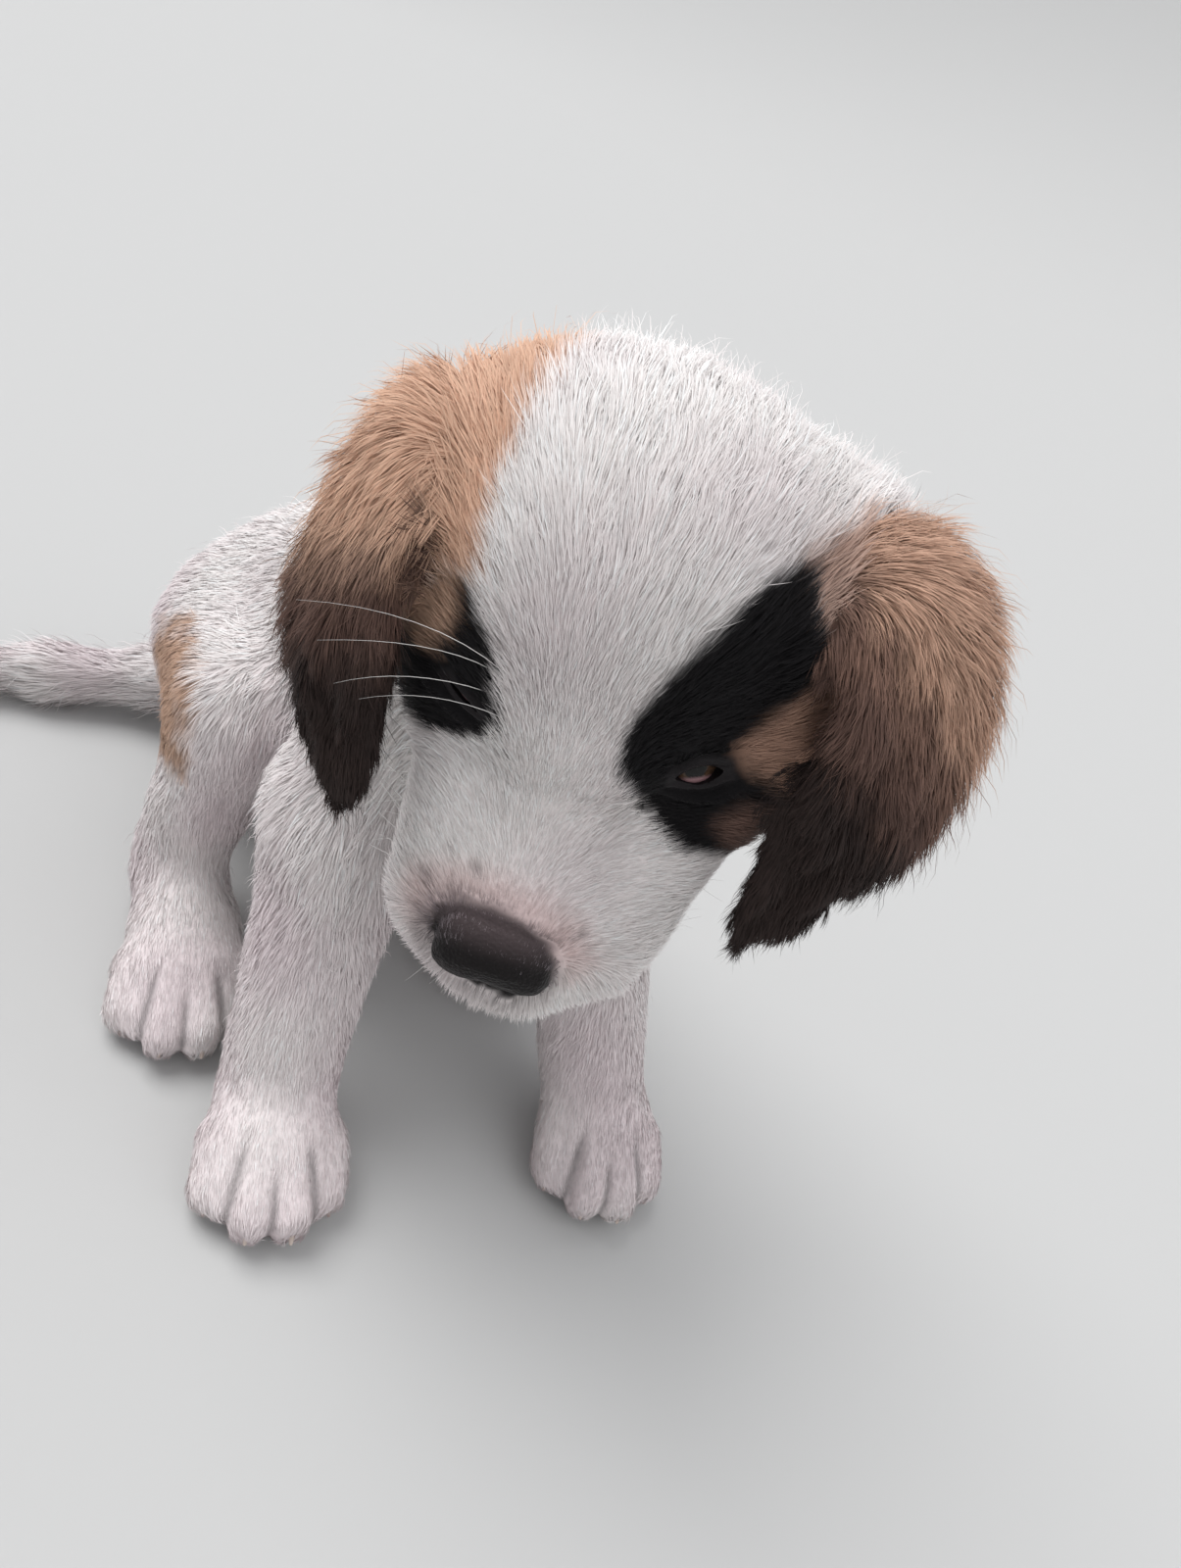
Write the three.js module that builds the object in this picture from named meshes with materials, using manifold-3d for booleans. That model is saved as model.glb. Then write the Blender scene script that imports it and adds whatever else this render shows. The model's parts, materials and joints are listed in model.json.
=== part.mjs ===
// A Saint Bernard puppy about eight weeks old, life size, sitting with its head bowed to its right.
// Millimetres, +Z up. It faces -Y and its left side is +X. Flesh is a smooth blend of named balls and limbs.
import * as THREE from 'three';
import { mergeVertices } from 'three/addons/utils/BufferGeometryUtils.js';
import Module from 'manifold-3d';

const wasm = await Module();
wasm.setup();
const V = (x, y, z) => new THREE.Vector3(x, y, z);

// Driving sizes
const air = 0.3;                    // gap between pieces that touch
const chestHalfWidth = 52;
const rumpHalfWidth = 52;
const muzzleHalfWidth = 36;
const eyeRadius = 8;
const noseHalfWidth = 17;
const pawHalfWidth = 24;
const clawLength = 6.5;
const clawThick = 2.7;
const earThickness = 8;
const earBulge = 9;                 // how far the flap arches between its two edges
const lockLength = 20;
const lockWidth = 8.5;
const lockThickness = 2.6;
const lifeScale = 1.15;             // the sizes in this file times this give the living puppy's
const facetSize = 1.2;                // coarser facets above one, finer below

// Where the head sits: the point between the eyes and the head's own left, back and up
const eyesAt = V(-18.6, 169, 194.5);
const headLeft = V(0.8, -0.594, 0.087).normalize();
const headUp = V(-0.549, -0.664, 0.508).normalize();
const headBack = V(0, 0, 0).crossVectors(headUp, headLeft).normalize();
headUp.crossVectors(headLeft, headBack);
const headFrame = new THREE.Matrix4().makeBasis(headLeft, headBack, headUp).setPosition(eyesAt);
const headInverse = headFrame.clone().invert();

// Fields: below nought inside, roughly in millimetres
const ball = (at, size, turn = [0, 0, 0]) => {
  const angles = turn.map((d) => THREE.MathUtils.degToRad(d));
  const spin = new THREE.Matrix4().makeRotationFromEuler(new THREE.Euler(...angles, 'ZYX')).invert();
  const m = spin.elements;
  const [rx, ry, rz] = size;
  return (x, y, z) => {
    const dx = x - at.x;
    const dy = y - at.y;
    const dz = z - at.z;
    const a = (m[0] * dx + m[4] * dy + m[8] * dz) / rx;
    const b = (m[1] * dx + m[5] * dy + m[9] * dz) / ry;
    const c = (m[2] * dx + m[6] * dy + m[10] * dz) / rz;
    const k0 = Math.hypot(a, b, c);
    const k1 = Math.hypot(a / rx, b / ry, c / rz);
    return k1 < 1e-9 ? -Math.min(rx, ry, rz) : (k0 * (k0 - 1)) / k1;
  };
};
const limb = (a, b, ra, rb) => {
  const ab = b.clone().sub(a);
  const l2 = ab.lengthSq();
  return (x, y, z) => {
    const px = x - a.x;
    const py = y - a.y;
    const pz = z - a.z;
    const h = Math.min(1, Math.max(0, (px * ab.x + py * ab.y + pz * ab.z) / l2));
    return Math.hypot(px - h * ab.x, py - h * ab.y, pz - h * ab.z) - (ra + h * (rb - ra));
  };
};
const blend = (k, ...fields) => (x, y, z) => {
  let d = fields[0](x, y, z);
  for (let i = 1; i < fields.length; i += 1) {
    const e = fields[i](x, y, z);
    const h = Math.max(k - Math.abs(d - e), 0) / k;
    d = Math.min(d, e) - (h * h * k) / 4;
  }
  return d;
};
const placed = (field, inverse) => {
  const m = inverse.elements;
  return (x, y, z) => field(
    m[0] * x + m[4] * y + m[8] * z + m[12],
    m[1] * x + m[5] * y + m[9] * z + m[13],
    m[2] * x + m[6] * y + m[10] * z + m[14],
  );
};

// The closed surface of a field inside a box of a frame, one vertex to a cell, pulled onto the form.
// Where two sheets of the form meet in one cell the grid is shifted and tried again.
function skin(field, low, high, cell, frame = new THREE.Matrix4(), grow = 0) {
  const tries = 12;
  for (let i = 0; i < tries; i += 1) {
    try {
      return solidOf(netOf(field, low, high, cell, frame, grow, 0.2 + 0.75 * ((0.6 + i * 0.382) % 1)));
    } catch (problem) {
      if (i === tries - 1) throw problem;
    }
  }
  return null;
}
function netOf(field, low, high, cell, frame, grow, shift) {
  const c = (typeof cell === 'number' ? V(cell, cell, cell) : V(...cell)).multiplyScalar(facetSize);
  const toWorld = (x, y, z) => V(x, y, z).applyMatrix4(frame);
  const inside = (x, y, z) => {
    const p = toWorld(x, y, z);
    const box = Math.max(low.x - x, x - high.x, low.y - y, y - high.y, low.z - z, z - high.z);
    return Math.max(field(p.x, p.y, p.z) - grow, box);
  };
  const from = low.clone().addScaledVector(c, -1 - shift);
  const n = high.clone().sub(from).divide(c).toArray().map((count) => Math.ceil(count) + 2);
  const at = (i, j, k) => (k * n[1] + j) * n[0] + i;
  const value = new Float64Array(n[0] * n[1] * n[2]);
  for (let k = 0; k < n[2]; k += 1) {
    for (let j = 0; j < n[1]; j += 1) {
      for (let i = 0; i < n[0]; i += 1) {
        value[at(i, j, k)] = inside(from.x + i * c.x, from.y + j * c.y, from.z + k * c.z);
      }
    }
  }
  const positions = [];
  const vertexOf = new Int32Array(value.length).fill(-1);
  const corners = [0, 1, 2, 3, 4, 5, 6, 7].map((e) => [e & 1, (e >> 1) & 1, e >> 2]);
  const settle = (v) => {
    for (let step = 0; step < 3; step += 1) {
      const e = 0.1;
      const d = inside(v.x, v.y, v.z);
      const gx = inside(v.x + e, v.y, v.z) - inside(v.x - e, v.y, v.z);
      const gy = inside(v.x, v.y + e, v.z) - inside(v.x, v.y - e, v.z);
      const gz = inside(v.x, v.y, v.z + e) - inside(v.x, v.y, v.z - e);
      const g = V(gx, gy, gz).divideScalar(2 * e);
      const pull = THREE.MathUtils.clamp(-d / Math.max(g.lengthSq(), 0.25), -0.2 * c.x, 0.2 * c.x);
      v.addScaledVector(g, pull);
    }
  };
  for (let k = 0; k < n[2] - 1; k += 1) {
    for (let j = 0; j < n[1] - 1; j += 1) {
      for (let i = 0; i < n[0] - 1; i += 1) {
        let count = 0;
        const sum = [0, 0, 0];
        for (const p of corners) {
          for (let axis = 0; axis < 3; axis += 1) {
            if (p[axis]) continue;
            const q = p.slice();
            q[axis] = 1;
            const a = value[at(i + p[0], j + p[1], k + p[2])];
            const b = value[at(i + q[0], j + q[1], k + q[2])];
            if ((a < 0) === (b < 0)) continue;
            const t = a / (a - b);
            for (let s = 0; s < 3; s += 1) sum[s] += p[s] + t * (q[s] - p[s]);
            count += 1;
          }
        }
        if (!count) continue;
        const v = V(i + sum[0] / count, j + sum[1] / count, k + sum[2] / count).multiply(c).add(from);
        settle(v);
        vertexOf[at(i, j, k)] = positions.length / 3;
        const p = toWorld(v.x, v.y, v.z);
        positions.push(p.x, p.y, p.z);
      }
    }
  }
  const index = [];
  const quad = (a, b, p, q, flip) => {
    if (flip) index.push(a, p, b, a, q, p);
    else index.push(a, b, p, a, p, q);
  };
  for (let k = 1; k < n[2] - 1; k += 1) {
    for (let j = 1; j < n[1] - 1; j += 1) {
      for (let i = 1; i < n[0] - 1; i += 1) {
        const here = value[at(i, j, k)] < 0;
        const v = (x, y, z) => vertexOf[at(i - x, j - y, k - z)];
        if (here !== value[at(i + 1, j, k)] < 0) quad(v(0, 1, 1), v(0, 0, 1), v(0, 0, 0), v(0, 1, 0), !here);
        if (here !== value[at(i, j + 1, k)] < 0) quad(v(1, 0, 1), v(1, 0, 0), v(0, 0, 0), v(0, 0, 1), !here);
        if (here !== value[at(i, j, k + 1)] < 0) quad(v(1, 1, 0), v(0, 1, 0), v(0, 0, 0), v(1, 0, 0), !here);
      }
    }
  }
  const uses = new Map();
  for (let i = 0; i < index.length; i += 1) {
    const next = i % 3 === 2 ? i - 2 : i + 1;
    const key = Math.min(index[i], index[next]) * positions.length + Math.max(index[i], index[next]);
    uses.set(key, (uses.get(key) || 0) + 1);
  }
  if ([...uses.values()].some((n) => n !== 2)) throw new Error('two sheets of the form share an edge');
  const g = new THREE.BufferGeometry();
  g.setAttribute('position', new THREE.Float32BufferAttribute(positions, 3));
  g.setIndex(index);
  return g;
}

// Solids
function solidOf(geometry, frame) {
  const g = geometry.clone();
  g.deleteAttribute('normal');
  g.deleteAttribute('uv');
  if (frame) g.applyMatrix4(frame);
  const m = mergeVertices(g, 1e-4);
  const vertProperties = new Float32Array(m.attributes.position.array);
  const triVerts = new Uint32Array(m.index.array);
  return new wasm.Manifold(new wasm.Mesh({ numProp: 3, vertProperties, triVerts }));
}
const largest = (solid) => solid.decompose().sort((a, b) => b.volume() - a.volume())[0];
// Slivers left by a cut are closed up, with the first weld that keeps the surface whole
const tidied = (solid) => {
  for (const weld of [0.04, 0.02, 0.01, 0.005]) {
    const m = solid.getMesh();
    const g = new THREE.BufferGeometry();
    g.setAttribute('position', new THREE.Float32BufferAttribute(Array.from(m.vertProperties), 3));
    g.setIndex(Array.from(m.triVerts));
    const w = mergeVertices(g, weld);
    const index = [];
    for (let i = 0; i < w.index.count; i += 3) {
      const [a, b, c] = [0, 1, 2].map((k) => w.index.getX(i + k));
      if (a !== b && b !== c && c !== a) index.push(a, b, c);
    }
    w.setIndex(index);
    try {
      const again = solidOf(w);
      if (Math.abs(again.volume() - solid.volume()) < 2) return largest(again);
    } catch (problem) {
      continue;
    }
  }
  return solid;
};
const fatten = (solid, by) => {
  const m = solid.getMesh();
  const g = new THREE.BufferGeometry();
  g.setAttribute('position', new THREE.Float32BufferAttribute(Array.from(m.vertProperties), 3));
  g.setIndex(Array.from(m.triVerts));
  g.computeVertexNormals();
  const p = g.attributes.position;
  const n = g.attributes.normal;
  for (let i = 0; i < p.count; i += 1) {
    p.setXYZ(i, p.getX(i) + by * n.getX(i), p.getY(i) + by * n.getY(i), p.getZ(i) + by * n.getZ(i));
  }
  return solidOf(g);
};
const boxOf = (low, high, grow = 0) => {
  const size = high.clone().sub(low).addScalar(2 * grow);
  const middle = low.clone().add(high).multiplyScalar(0.5);
  return solidOf(new THREE.BoxGeometry(size.x, size.y, size.z).translate(middle.x, middle.y, middle.z));
};
const above = (point, normal, shift = 0) => {
  const size = 900;
  const turn = new THREE.Quaternion().setFromUnitVectors(V(0, 0, 1), normal);
  const g = new THREE.BoxGeometry(size, size, size).translate(0, 0, size / 2 + shift).applyQuaternion(turn);
  return solidOf(g.translate(point.x, point.y, point.z));
};
const geometryOf = (solid) => {
  const m = solid.getMesh();
  const g = new THREE.BufferGeometry();
  g.setAttribute('position', new THREE.Float32BufferAttribute(Array.from(m.vertProperties), 3));
  g.setIndex(Array.from(m.triVerts));
  g.scale(lifeScale, lifeScale, lifeScale);
  g.computeVertexNormals();
  return g;
};

// Head, in its own frame: x left, y back, z up from the point between the eyes
const pair = (at, size, turn = [0, 0, 0]) => [
  ball(at, size, turn),
  ball(V(-at.x, at.y, at.z), size, [turn[0], -turn[1], -turn[2]]),
];
const cranium = ball(V(0, 42, 2), [44.5, 41, 37]);
const eyeCentre = V(25, 7, -1);
const headLocal = blend(11,
  cranium,
  ball(V(0, 15, 5), [26, 29, 18]),
  ball(V(38, 19, -14), [20, 29, 25]),
  ball(V(-33, 21, -17), [19, 30, 26]),
  ball(V(0, 16, -34), [30, 34, 22]),
  limb(V(0, 4, -5), V(-2, -46, -20), 17, 14),
  ball(V(32, -9, -23), [14, 24, 19]),
  ball(V(-24, -11, -23), [14, 24, 19]),
  ball(V(1, -34, -33), [30, 39, 20]),
  ball(V(0, -26, -26), [31, 34, 20]),
  ball(V(22, -31, -35), [18, 29, 19], [0, 0, 8]),
  ball(V(17 - muzzleHalfWidth, -35, -35), [17, 29, 19], [0, 0, -8]),
);
const lidField = blend(1, ...pair(eyeCentre, [eyeRadius + 2, eyeRadius + 2, eyeRadius + 2]));
const headField = placed(blend(6, headLocal, lidField), headInverse);
const ruffField = placed(blend(12,
  ball(V(40, 58, -20), [33, 30, 27]),
  ball(V(11, 66, -20), [34, 27, 26]),
  ball(V(-30, 56, -22), [27, 25, 24]),
), headInverse);
const jawField = placed(blend(8,
  limb(V(0, -44, -47), V(0, 0, -44), 12, 16),
  ball(V(0, -52, -47), [16, 13, 9.5]),
), headInverse);
const noseField = placed(blend(4,
  ball(V(-3, -54, -14), [noseHalfWidth - 1.5, 13, 9.5]),
  ball(V(5, -60, -17.5), [8.5, 9.5, 9]),
  ball(V(-11, -60, -17.5), [8.5, 9.5, 9]),
  ball(V(-3, -64, -25), [6, 6, 9]),
), headInverse);

// Neck and torso
const neckField = limb(V(8, 256, 184), V(-6, 210, 232), 46, 41);
const torsoField = blend(30,
  ball(V(8, 260, 160), [chestHalfWidth, 44, 58], [-30, 0, 0]),
  ball(V(5, 308, 132), [50, 62, 49], [-38, 0, 0]),
  ball(V(-1, 354, 96), [rumpHalfWidth, 58, 51], [-44, 0, 0]),
  ball(V(0, 372, 44), [45, 38, 45]),
);

// Legs
const pawLocal = blend(4.5,
  ball(V(0, 2, 17), [pawHalfWidth - 3, 24, 17]),
  limb(V(-16, -10, 17), V(-17.5, -24, 10), 9.5, 9),
  limb(V(-6, -14, 20), V(-6.5, -33, 11.5), 10.5, 10),
  limb(V(6, -14, 20), V(6.5, -33, 11.5), 10.5, 10),
  limb(V(16, -10, 17), V(17.5, -24, 10), 9.5, 9),
  ball(V(0, -8, 8), [19, 20, 10]),
);
const degrees = THREE.MathUtils.degToRad;
const pawFrame = (x, y, turn) => new THREE.Matrix4().makeRotationZ(degrees(turn)).setPosition(x, y, 0);
const forelegs = [
  {
    paw: pawFrame(-46, 197, -15),
    wrist: V(-42, 210, 36),
    elbow: V(-31, 238, 112),
    shoulder: V(-20, 238, 160),
  },
  {
    paw: pawFrame(69, 174, -22),
    wrist: V(64, 184, 36),
    elbow: V(51, 226, 112),
    shoulder: V(36, 236, 160),
  },
];
const hindlegs = [
  {
    paw: pawFrame(-59, 269, -12),
    heel: V(-55, 306, 16),
    knee: V(-47, 296, 104),
    hip: V(-29, 349, 93),
  },
  {
    paw: pawFrame(66, 274, 8),
    heel: V(61, 314, 16),
    knee: V(50, 296, 104),
    hip: V(30, 346, 90),
  },
];
const forelegFields = forelegs.map((f) => blend(16,
  limb(f.wrist, f.elbow, 21, 25),
  limb(f.elbow, f.shoulder, 25, 32)));
const forepawFields = forelegs.map((f) => placed(pawLocal, f.paw.clone().invert()));
const hindlegFields = hindlegs.map((h) => blend(14,
  limb(h.hip, h.knee, 40, 27),
  limb(h.knee, h.heel.clone().add(V(0, -2, 20)), 26, 18),
  limb(h.heel, V(0, 14, 20).applyMatrix4(h.paw), 17, 17)));
const hindpawFields = hindlegs.map((h) => placed(pawLocal, h.paw.clone().invert()));
const tailField = blend(10,
  limb(V(-4, 392, 40), V(-36, 424, 20), 17, 13),
  limb(V(-36, 424, 20), V(-78, 434, 14), 13, 11.5),
  limb(V(-78, 434, 14), V(-158, 442, 10), 11.5, 6));

const trunkField = blend(20, torsoField, neckField, ruffField, placed(cranium, headInverse));
const frontField = blend(8, trunkField, headField);
const headAndNape = blend(8, blend(20, neckField, ruffField, placed(cranium, headInverse)), headField);
const withForeleg = [0, 1].map((i) => blend(10, trunkField, forelegFields[i], forepawFields[i]));
const withHindleg = [0, 1].map((i) => blend(10, trunkField, hindlegFields[i], hindpawFields[i]));
const wholeTrunk = blend(10, trunkField, ...forelegFields, ...hindlegFields);

// Regions of the body, each a box that is kept by one part and taken from the next
const neckCut = {
  point: V(0, 80, -14).applyMatrix4(headFrame),
  normal: V(0, 0.457, -0.889).transformDirection(headFrame),
};
const chestCut = { point: V(2, 246, 192), normal: V(-0.05, 0.6, -0.8).normalize() };
const far = 600;
const boxes = {};
const elbowHeight = 122;
const wristHeight = 38;
const flankAt = 264;
for (const s of [-1, 1]) {
  const n = s < 0 ? 'r' : 'l';
  const lowX = (x) => (s < 0 ? -far : x);
  const highX = (x) => (s < 0 ? -x : far);
  boxes['foreleg_' + n] = [V(lowX(4), 100, -far), V(highX(4), flankAt, elbowHeight)];
  boxes['forepaw_' + n] = [V(lowX(4), 100, -far), V(highX(4), flankAt, wristHeight)];
  boxes['thigh_' + n] = [V(lowX(24), flankAt, -far), V(highX(24), far, 150)];
  boxes['hock_' + n] = [V(lowX(30), 200, -far), V(highX(30), 336, 68)];
  boxes['hindpaw_' + n] = [V(lowX(30), 200, -far), V(highX(30), 286, 42)];
}
const floor = boxOf(V(-far, -far, -far), V(far, far, 0));
const take = (solid, ...names) => names.reduce((s, n) => s.subtract(boxOf(...boxes[n], air)), solid);

// Ear flaps: front edge and back edge from root to tip, in the head's frame
const earShapes = {
  l: {
    side: 1,
    front: [[41, 30, 9], [50, 33, 16], [52, 20, 13], [48, 4, 6], [46, -12, 0], [49, -27, -5]],
    back: [[36, 72, 2], [62, 74, 5], [83, 57, 3], [92, 31, 0], [87, 2, -4], [68, -20, -6]],
    tip: [53, -37, -7],
  },
  r: {
    side: -1,
    front: [[-40, 30, 9], [-47, 33, 15], [-47, 20, 12], [-43, 4, 6], [-43, -12, 0], [-46, -25, -6]],
    back: [[-32, 76, 2], [-57, 71, 4], [-70, 48, 1], [-76, 20, -2], [-71, -3, -6], [-59, -20, -8]],
    tip: [-52, -35, -9],
  },
};
const edge = (row) => new THREE.CatmullRomCurve3(row.map((p) => V(...p)));
const edges = (shape) => [edge(shape.front), edge(shape.back)];
// How far the middle of the flap stands off its edges, t along the ear and s across it
const arch = (t, s) => earBulge * Math.sin(Math.PI * Math.min(1, 0.25 + 0.75 * t)) * Math.sin(Math.PI * s);
function earFlap(shape) {
  const [front, back] = edges(shape);
  const tip = V(...shape.tip);
  const rows = 11;
  const across = 6;
  const positions = [];
  for (let r = 0; r < rows; r += 1) {
    const t = r / (rows - 1);
    const a = front.getPoint(t);
    const b = back.getPoint(t);
    const thick = earThickness * (1 - 0.55 * t);
    const half = (k) => (thick / 2) * Math.sqrt(Math.max(0, 1 - (2 * k - 1) ** 4));
    const point = (k, side) => a.clone().lerp(b, k).add(V(0, 0, arch(t, k) + side * half(k)));
    for (let i = 0; i <= across; i += 1) positions.push(point(i / across, 1));
    for (let i = across - 1; i > 0; i -= 1) positions.push(point(i / across, -1));
  }
  const loop = 2 * across;
  const index = [];
  for (let r = 0; r < rows - 1; r += 1) {
    for (let i = 0; i < loop; i += 1) {
      const j = (i + 1) % loop;
      const a = r * loop + i;
      const b = r * loop + j;
      index.push(a, b, a + loop, b, b + loop, a + loop);
    }
  }
  const root = positions.length;
  positions.push(front.getPoint(0).lerp(back.getPoint(0), 0.5));
  positions.push(tip);
  for (let i = 0; i < loop; i += 1) {
    const j = (i + 1) % loop;
    index.push(root, j, i);
    index.push(root + 1, (rows - 1) * loop + i, (rows - 1) * loop + j);
  }
  if (shape.side > 0) index.reverse();
  const g = new THREE.BufferGeometry().setFromPoints(positions);
  g.setIndex(index);
  return solidOf(g, headFrame);
}

// One flat lock: four-sided, widest a third of the way along, bending down to a point
function lock(root, along, face, length, width, thick, droop) {
  const across = V(0, 0, 0).crossVectors(along, face).normalize();
  const stations = [[0, 0.75], [0.35, 1], [0.72, 0.62]];
  const path = (t) => root.clone().addScaledVector(along, length * t).addScaledVector(hang, droop * t * t);
  const points = [];
  for (const [t, size] of stations) {
    const middleOf = path(t);
    for (let i = 0; i < 4; i += 1) {
      const a = (i * Math.PI) / 2;
      const side = across.clone().multiplyScalar((Math.cos(a) * width * size) / 2);
      points.push(middleOf.clone().add(side).addScaledVector(face, (Math.sin(a) * thick * size) / 2));
    }
  }
  points.push(path(1));
  const index = [0, 2, 1, 0, 3, 2];
  for (let r = 0; r < 2; r += 1) {
    for (let i = 0; i < 4; i += 1) {
      const j = (i + 1) % 4;
      index.push(4 * r + i, 4 * r + j, 4 * r + 4 + i, 4 * r + j, 4 * r + 4 + j, 4 * r + 4 + i);
    }
  }
  for (let i = 0; i < 4; i += 1) index.push(8 + i, 8 + ((i + 1) % 4), 12);
  const g = new THREE.BufferGeometry().setFromPoints(points);
  g.setIndex(index);
  const made = solidOf(g, headFrame);
  if (made.volume() > 0) return made;
  g.setIndex(index.slice().reverse());
  return solidOf(g, headFrame);
}
const hang = V(0, 0, -1).transformDirection(headInverse);
let seed = 20;
const draw = (low, high) => {
  seed = (seed * 16807) % 2147483647;
  return low + ((high - low) * seed) / 2147483647;
};

// A whole ear: the cupped flap, rows of overlapping locks on its outer face and a fringe along its back edge
const lockRows = [
  { t: 0.02, across: [0.4, 0.68, 0.9], spread: 0.5 },
  { t: 0.18, across: [0.25, 0.55, 0.82, 1], spread: 0.45 },
  { t: 0.36, across: [0.4, 0.7, 1], spread: 0.4 },
  { t: 0.5, across: [0.28, 0.6, 0.88, 1], spread: 0.35 },
  { t: 0.64, across: [0.42, 0.74, 1], spread: 0.25 },
  { t: 0.78, across: [0.3, 0.65, 1], spread: 0.12 },
  { t: 0.92, across: [0.25, 0.6, 0.95], spread: 0 },
];
function ear(shape) {
  const [front, back] = edges(shape);
  const on = (t, s) => front.getPoint(t).lerp(back.getPoint(t), s);
  const concha = new THREE.SphereGeometry(1, 12, 8).scale(10, 15, 6).translate(shape.side * 52, 46, 2);
  let made = earFlap(shape).subtract(solidOf(concha, headFrame));
  const tipWay = V(...shape.tip).sub(on(0.5, 0.5)).normalize();
  for (const row of lockRows) {
    for (const s of row.across) {
      const t = row.t + draw(-0.02, 0.02);
      const at = on(t, Math.min(s, 0.97) - 0.1);
      const outward = on(t, 1).sub(on(t, 0)).normalize();
      const flow = on(Math.min(t + 0.12, 1), Math.min(s, 0.9)).sub(on(t, Math.min(s, 0.9))).normalize();
      const along = flow.lerp(tipWay, 0.4).addScaledVector(outward, row.spread * s).normalize();
      const skinAt = s > 0.95 ? -0.5 : earThickness * (0.5 - 0.28 * t) - 1.7;
      at.z += arch(t, Math.min(s, 0.95)) + skinAt;
      const outer = V(0, 0, 1).addScaledVector(outward, (s - 0.5) * 1.1).projectOnPlane(along).normalize();
      along.addScaledVector(outer, 0.16).normalize();
      const length = lockLength * draw(0.85, 1.15) * (t > 0.85 || s > 0.95 ? 0.72 : 1);
      const width = lockWidth * draw(0.85, 1.15);
      made = made.add(lock(at, along, outer, length, width, lockThickness, draw(1, 3)));
    }
  }
  return made;
}

const puppy = new THREE.Group();
puppy.name = 'saint_bernard_puppy';
const colours = { white: 0xe9e2dd, tan: 0x9c6b48, leather: 0x33282a, claw: 0xcabfb6, eye: 0x1a0f0c };
const put = (name, solid, colour, roughness = 0.9) => {
  const material = new THREE.MeshStandardMaterial({ color: colour, roughness, metalness: 0 });
  const mesh = new THREE.Mesh(geometryOf(tidied(largest(solid))), material);
  mesh.name = name;
  puppy.add(mesh);
};

// Head and face
const headCells = 5.6;
const headBox = [V(-64, -78, -62), V(74, 104, 60)];
const noseBox = [V(-24, -80, -44), V(24, -36, 6)];
const jawBox = [V(-34, -72, -68), V(34, 32, -24)];
const faceEnd = 20;
const [headLow, headHigh] = headBox;
const seam = V(0, faceEnd, 0).applyMatrix4(headFrame);
const faceSkin = skin(headAndNape, headLow, V(headHigh.x, faceEnd + 12, headHigh.z), headCells, headFrame);
const face = faceSkin.subtract(above(seam, headBack, 0.05));
const rearSkin = skin(headAndNape, V(headLow.x, faceEnd - 16, headLow.z), headHigh, 9, headFrame);
const rear = rearSkin.intersect(above(seam, headBack));
const noseWhole = skin(noseField, ...noseBox, 4.3, headFrame);
const jawWhole = skin(jawField, ...jawBox, 6.2, headFrame);
const headFat = fatten(faceSkin, air + 0.1).add(fatten(rearSkin, air + 0.1));
const jawFat = fatten(jawWhole, air + 0.1);
let head = face.add(rear).subtract(above(neckCut.point, neckCut.normal, -air / 2));
head = head.subtract(fatten(noseWhole, air + 0.1)).subtract(jawFat);
const gaze = V(0.45, -0.6, 0.66).normalize();
const slit = V(0.9, 0.42, 0.06);
const eyeOpening = { l: [6.2, 2.3], r: [6.0, 1.5] };
for (const side of ['l', 'r']) {
  const s = side === 'l' ? 1 : -1;
  const centre = V(s * eyeCentre.x, eyeCentre.y, eyeCentre.z);
  const look = V(s * gaze.x, gaze.y, gaze.z);
  const along = V(s * slit.x, slit.y, slit.z).projectOnPlane(look).normalize();
  const over = V(0, 0, 0).crossVectors(along, look).normalize();
  const [wide, tall] = eyeOpening[side];
  const globe = (r) => solidOf(new THREE.SphereGeometry(r, 12, 8).translate(...centre.toArray()), headFrame);
  const rim = [];
  for (let i = 0; i < 18; i += 1) {
    const a = (i / 18) * 2 * Math.PI;
    const d = look.clone().multiplyScalar(eyeRadius).addScaledVector(along, wide * Math.cos(a));
    rim.push(d.addScaledVector(over, tall * Math.sin(a)).setLength(eyeRadius + 1.4).add(centre));
  }
  const tube = new THREE.TubeGeometry(new THREE.CatmullRomCurve3(rim, true), 18, 1.05, 4, true);
  const window = new THREE.SphereGeometry(1, 12, 7).scale(wide, tall, 5);
  window.applyMatrix4(new THREE.Matrix4().makeBasis(along, over, V(0, 0, 0).crossVectors(along, over)));
  const at = centre.clone().addScaledVector(look, eyeRadius + 1.5);
  head = head.add(solidOf(tube, headFrame)).subtract(solidOf(window.translate(at.x, at.y, at.z), headFrame));
  head = head.subtract(globe(eyeRadius + air));
  put('eye_' + side, globe(eyeRadius), colours.eye, 0.15);
}
put('head', head, colours.white);
let nose = noseWhole;
const noseAt = -3;
for (const s of [-1, 1]) {
  const nostril = new THREE.SphereGeometry(1, 8, 6).scale(3.2, 6, 2.7).rotateZ(s * 0.5);
  nostril.translate(noseAt + s * 7.2, -69.5, -19.5);
  const wing = new THREE.SphereGeometry(1, 6, 5).scale(4.2, 4, 0.8).rotateY(s * 0.35);
  wing.translate(noseAt + s * 11.8, -67.5, -21);
  nose = nose.subtract(solidOf(nostril, headFrame)).subtract(solidOf(wing, headFrame));
}
const philtrum = new THREE.SphereGeometry(1, 8, 8).scale(0.55, 2.4, 7).translate(noseAt, -69.5, -26);
put('nose', nose.subtract(solidOf(philtrum, headFrame)), colours.leather, 0.5);
const jaw = jawWhole.subtract(fatten(noseWhole, air + 0.1));
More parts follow.
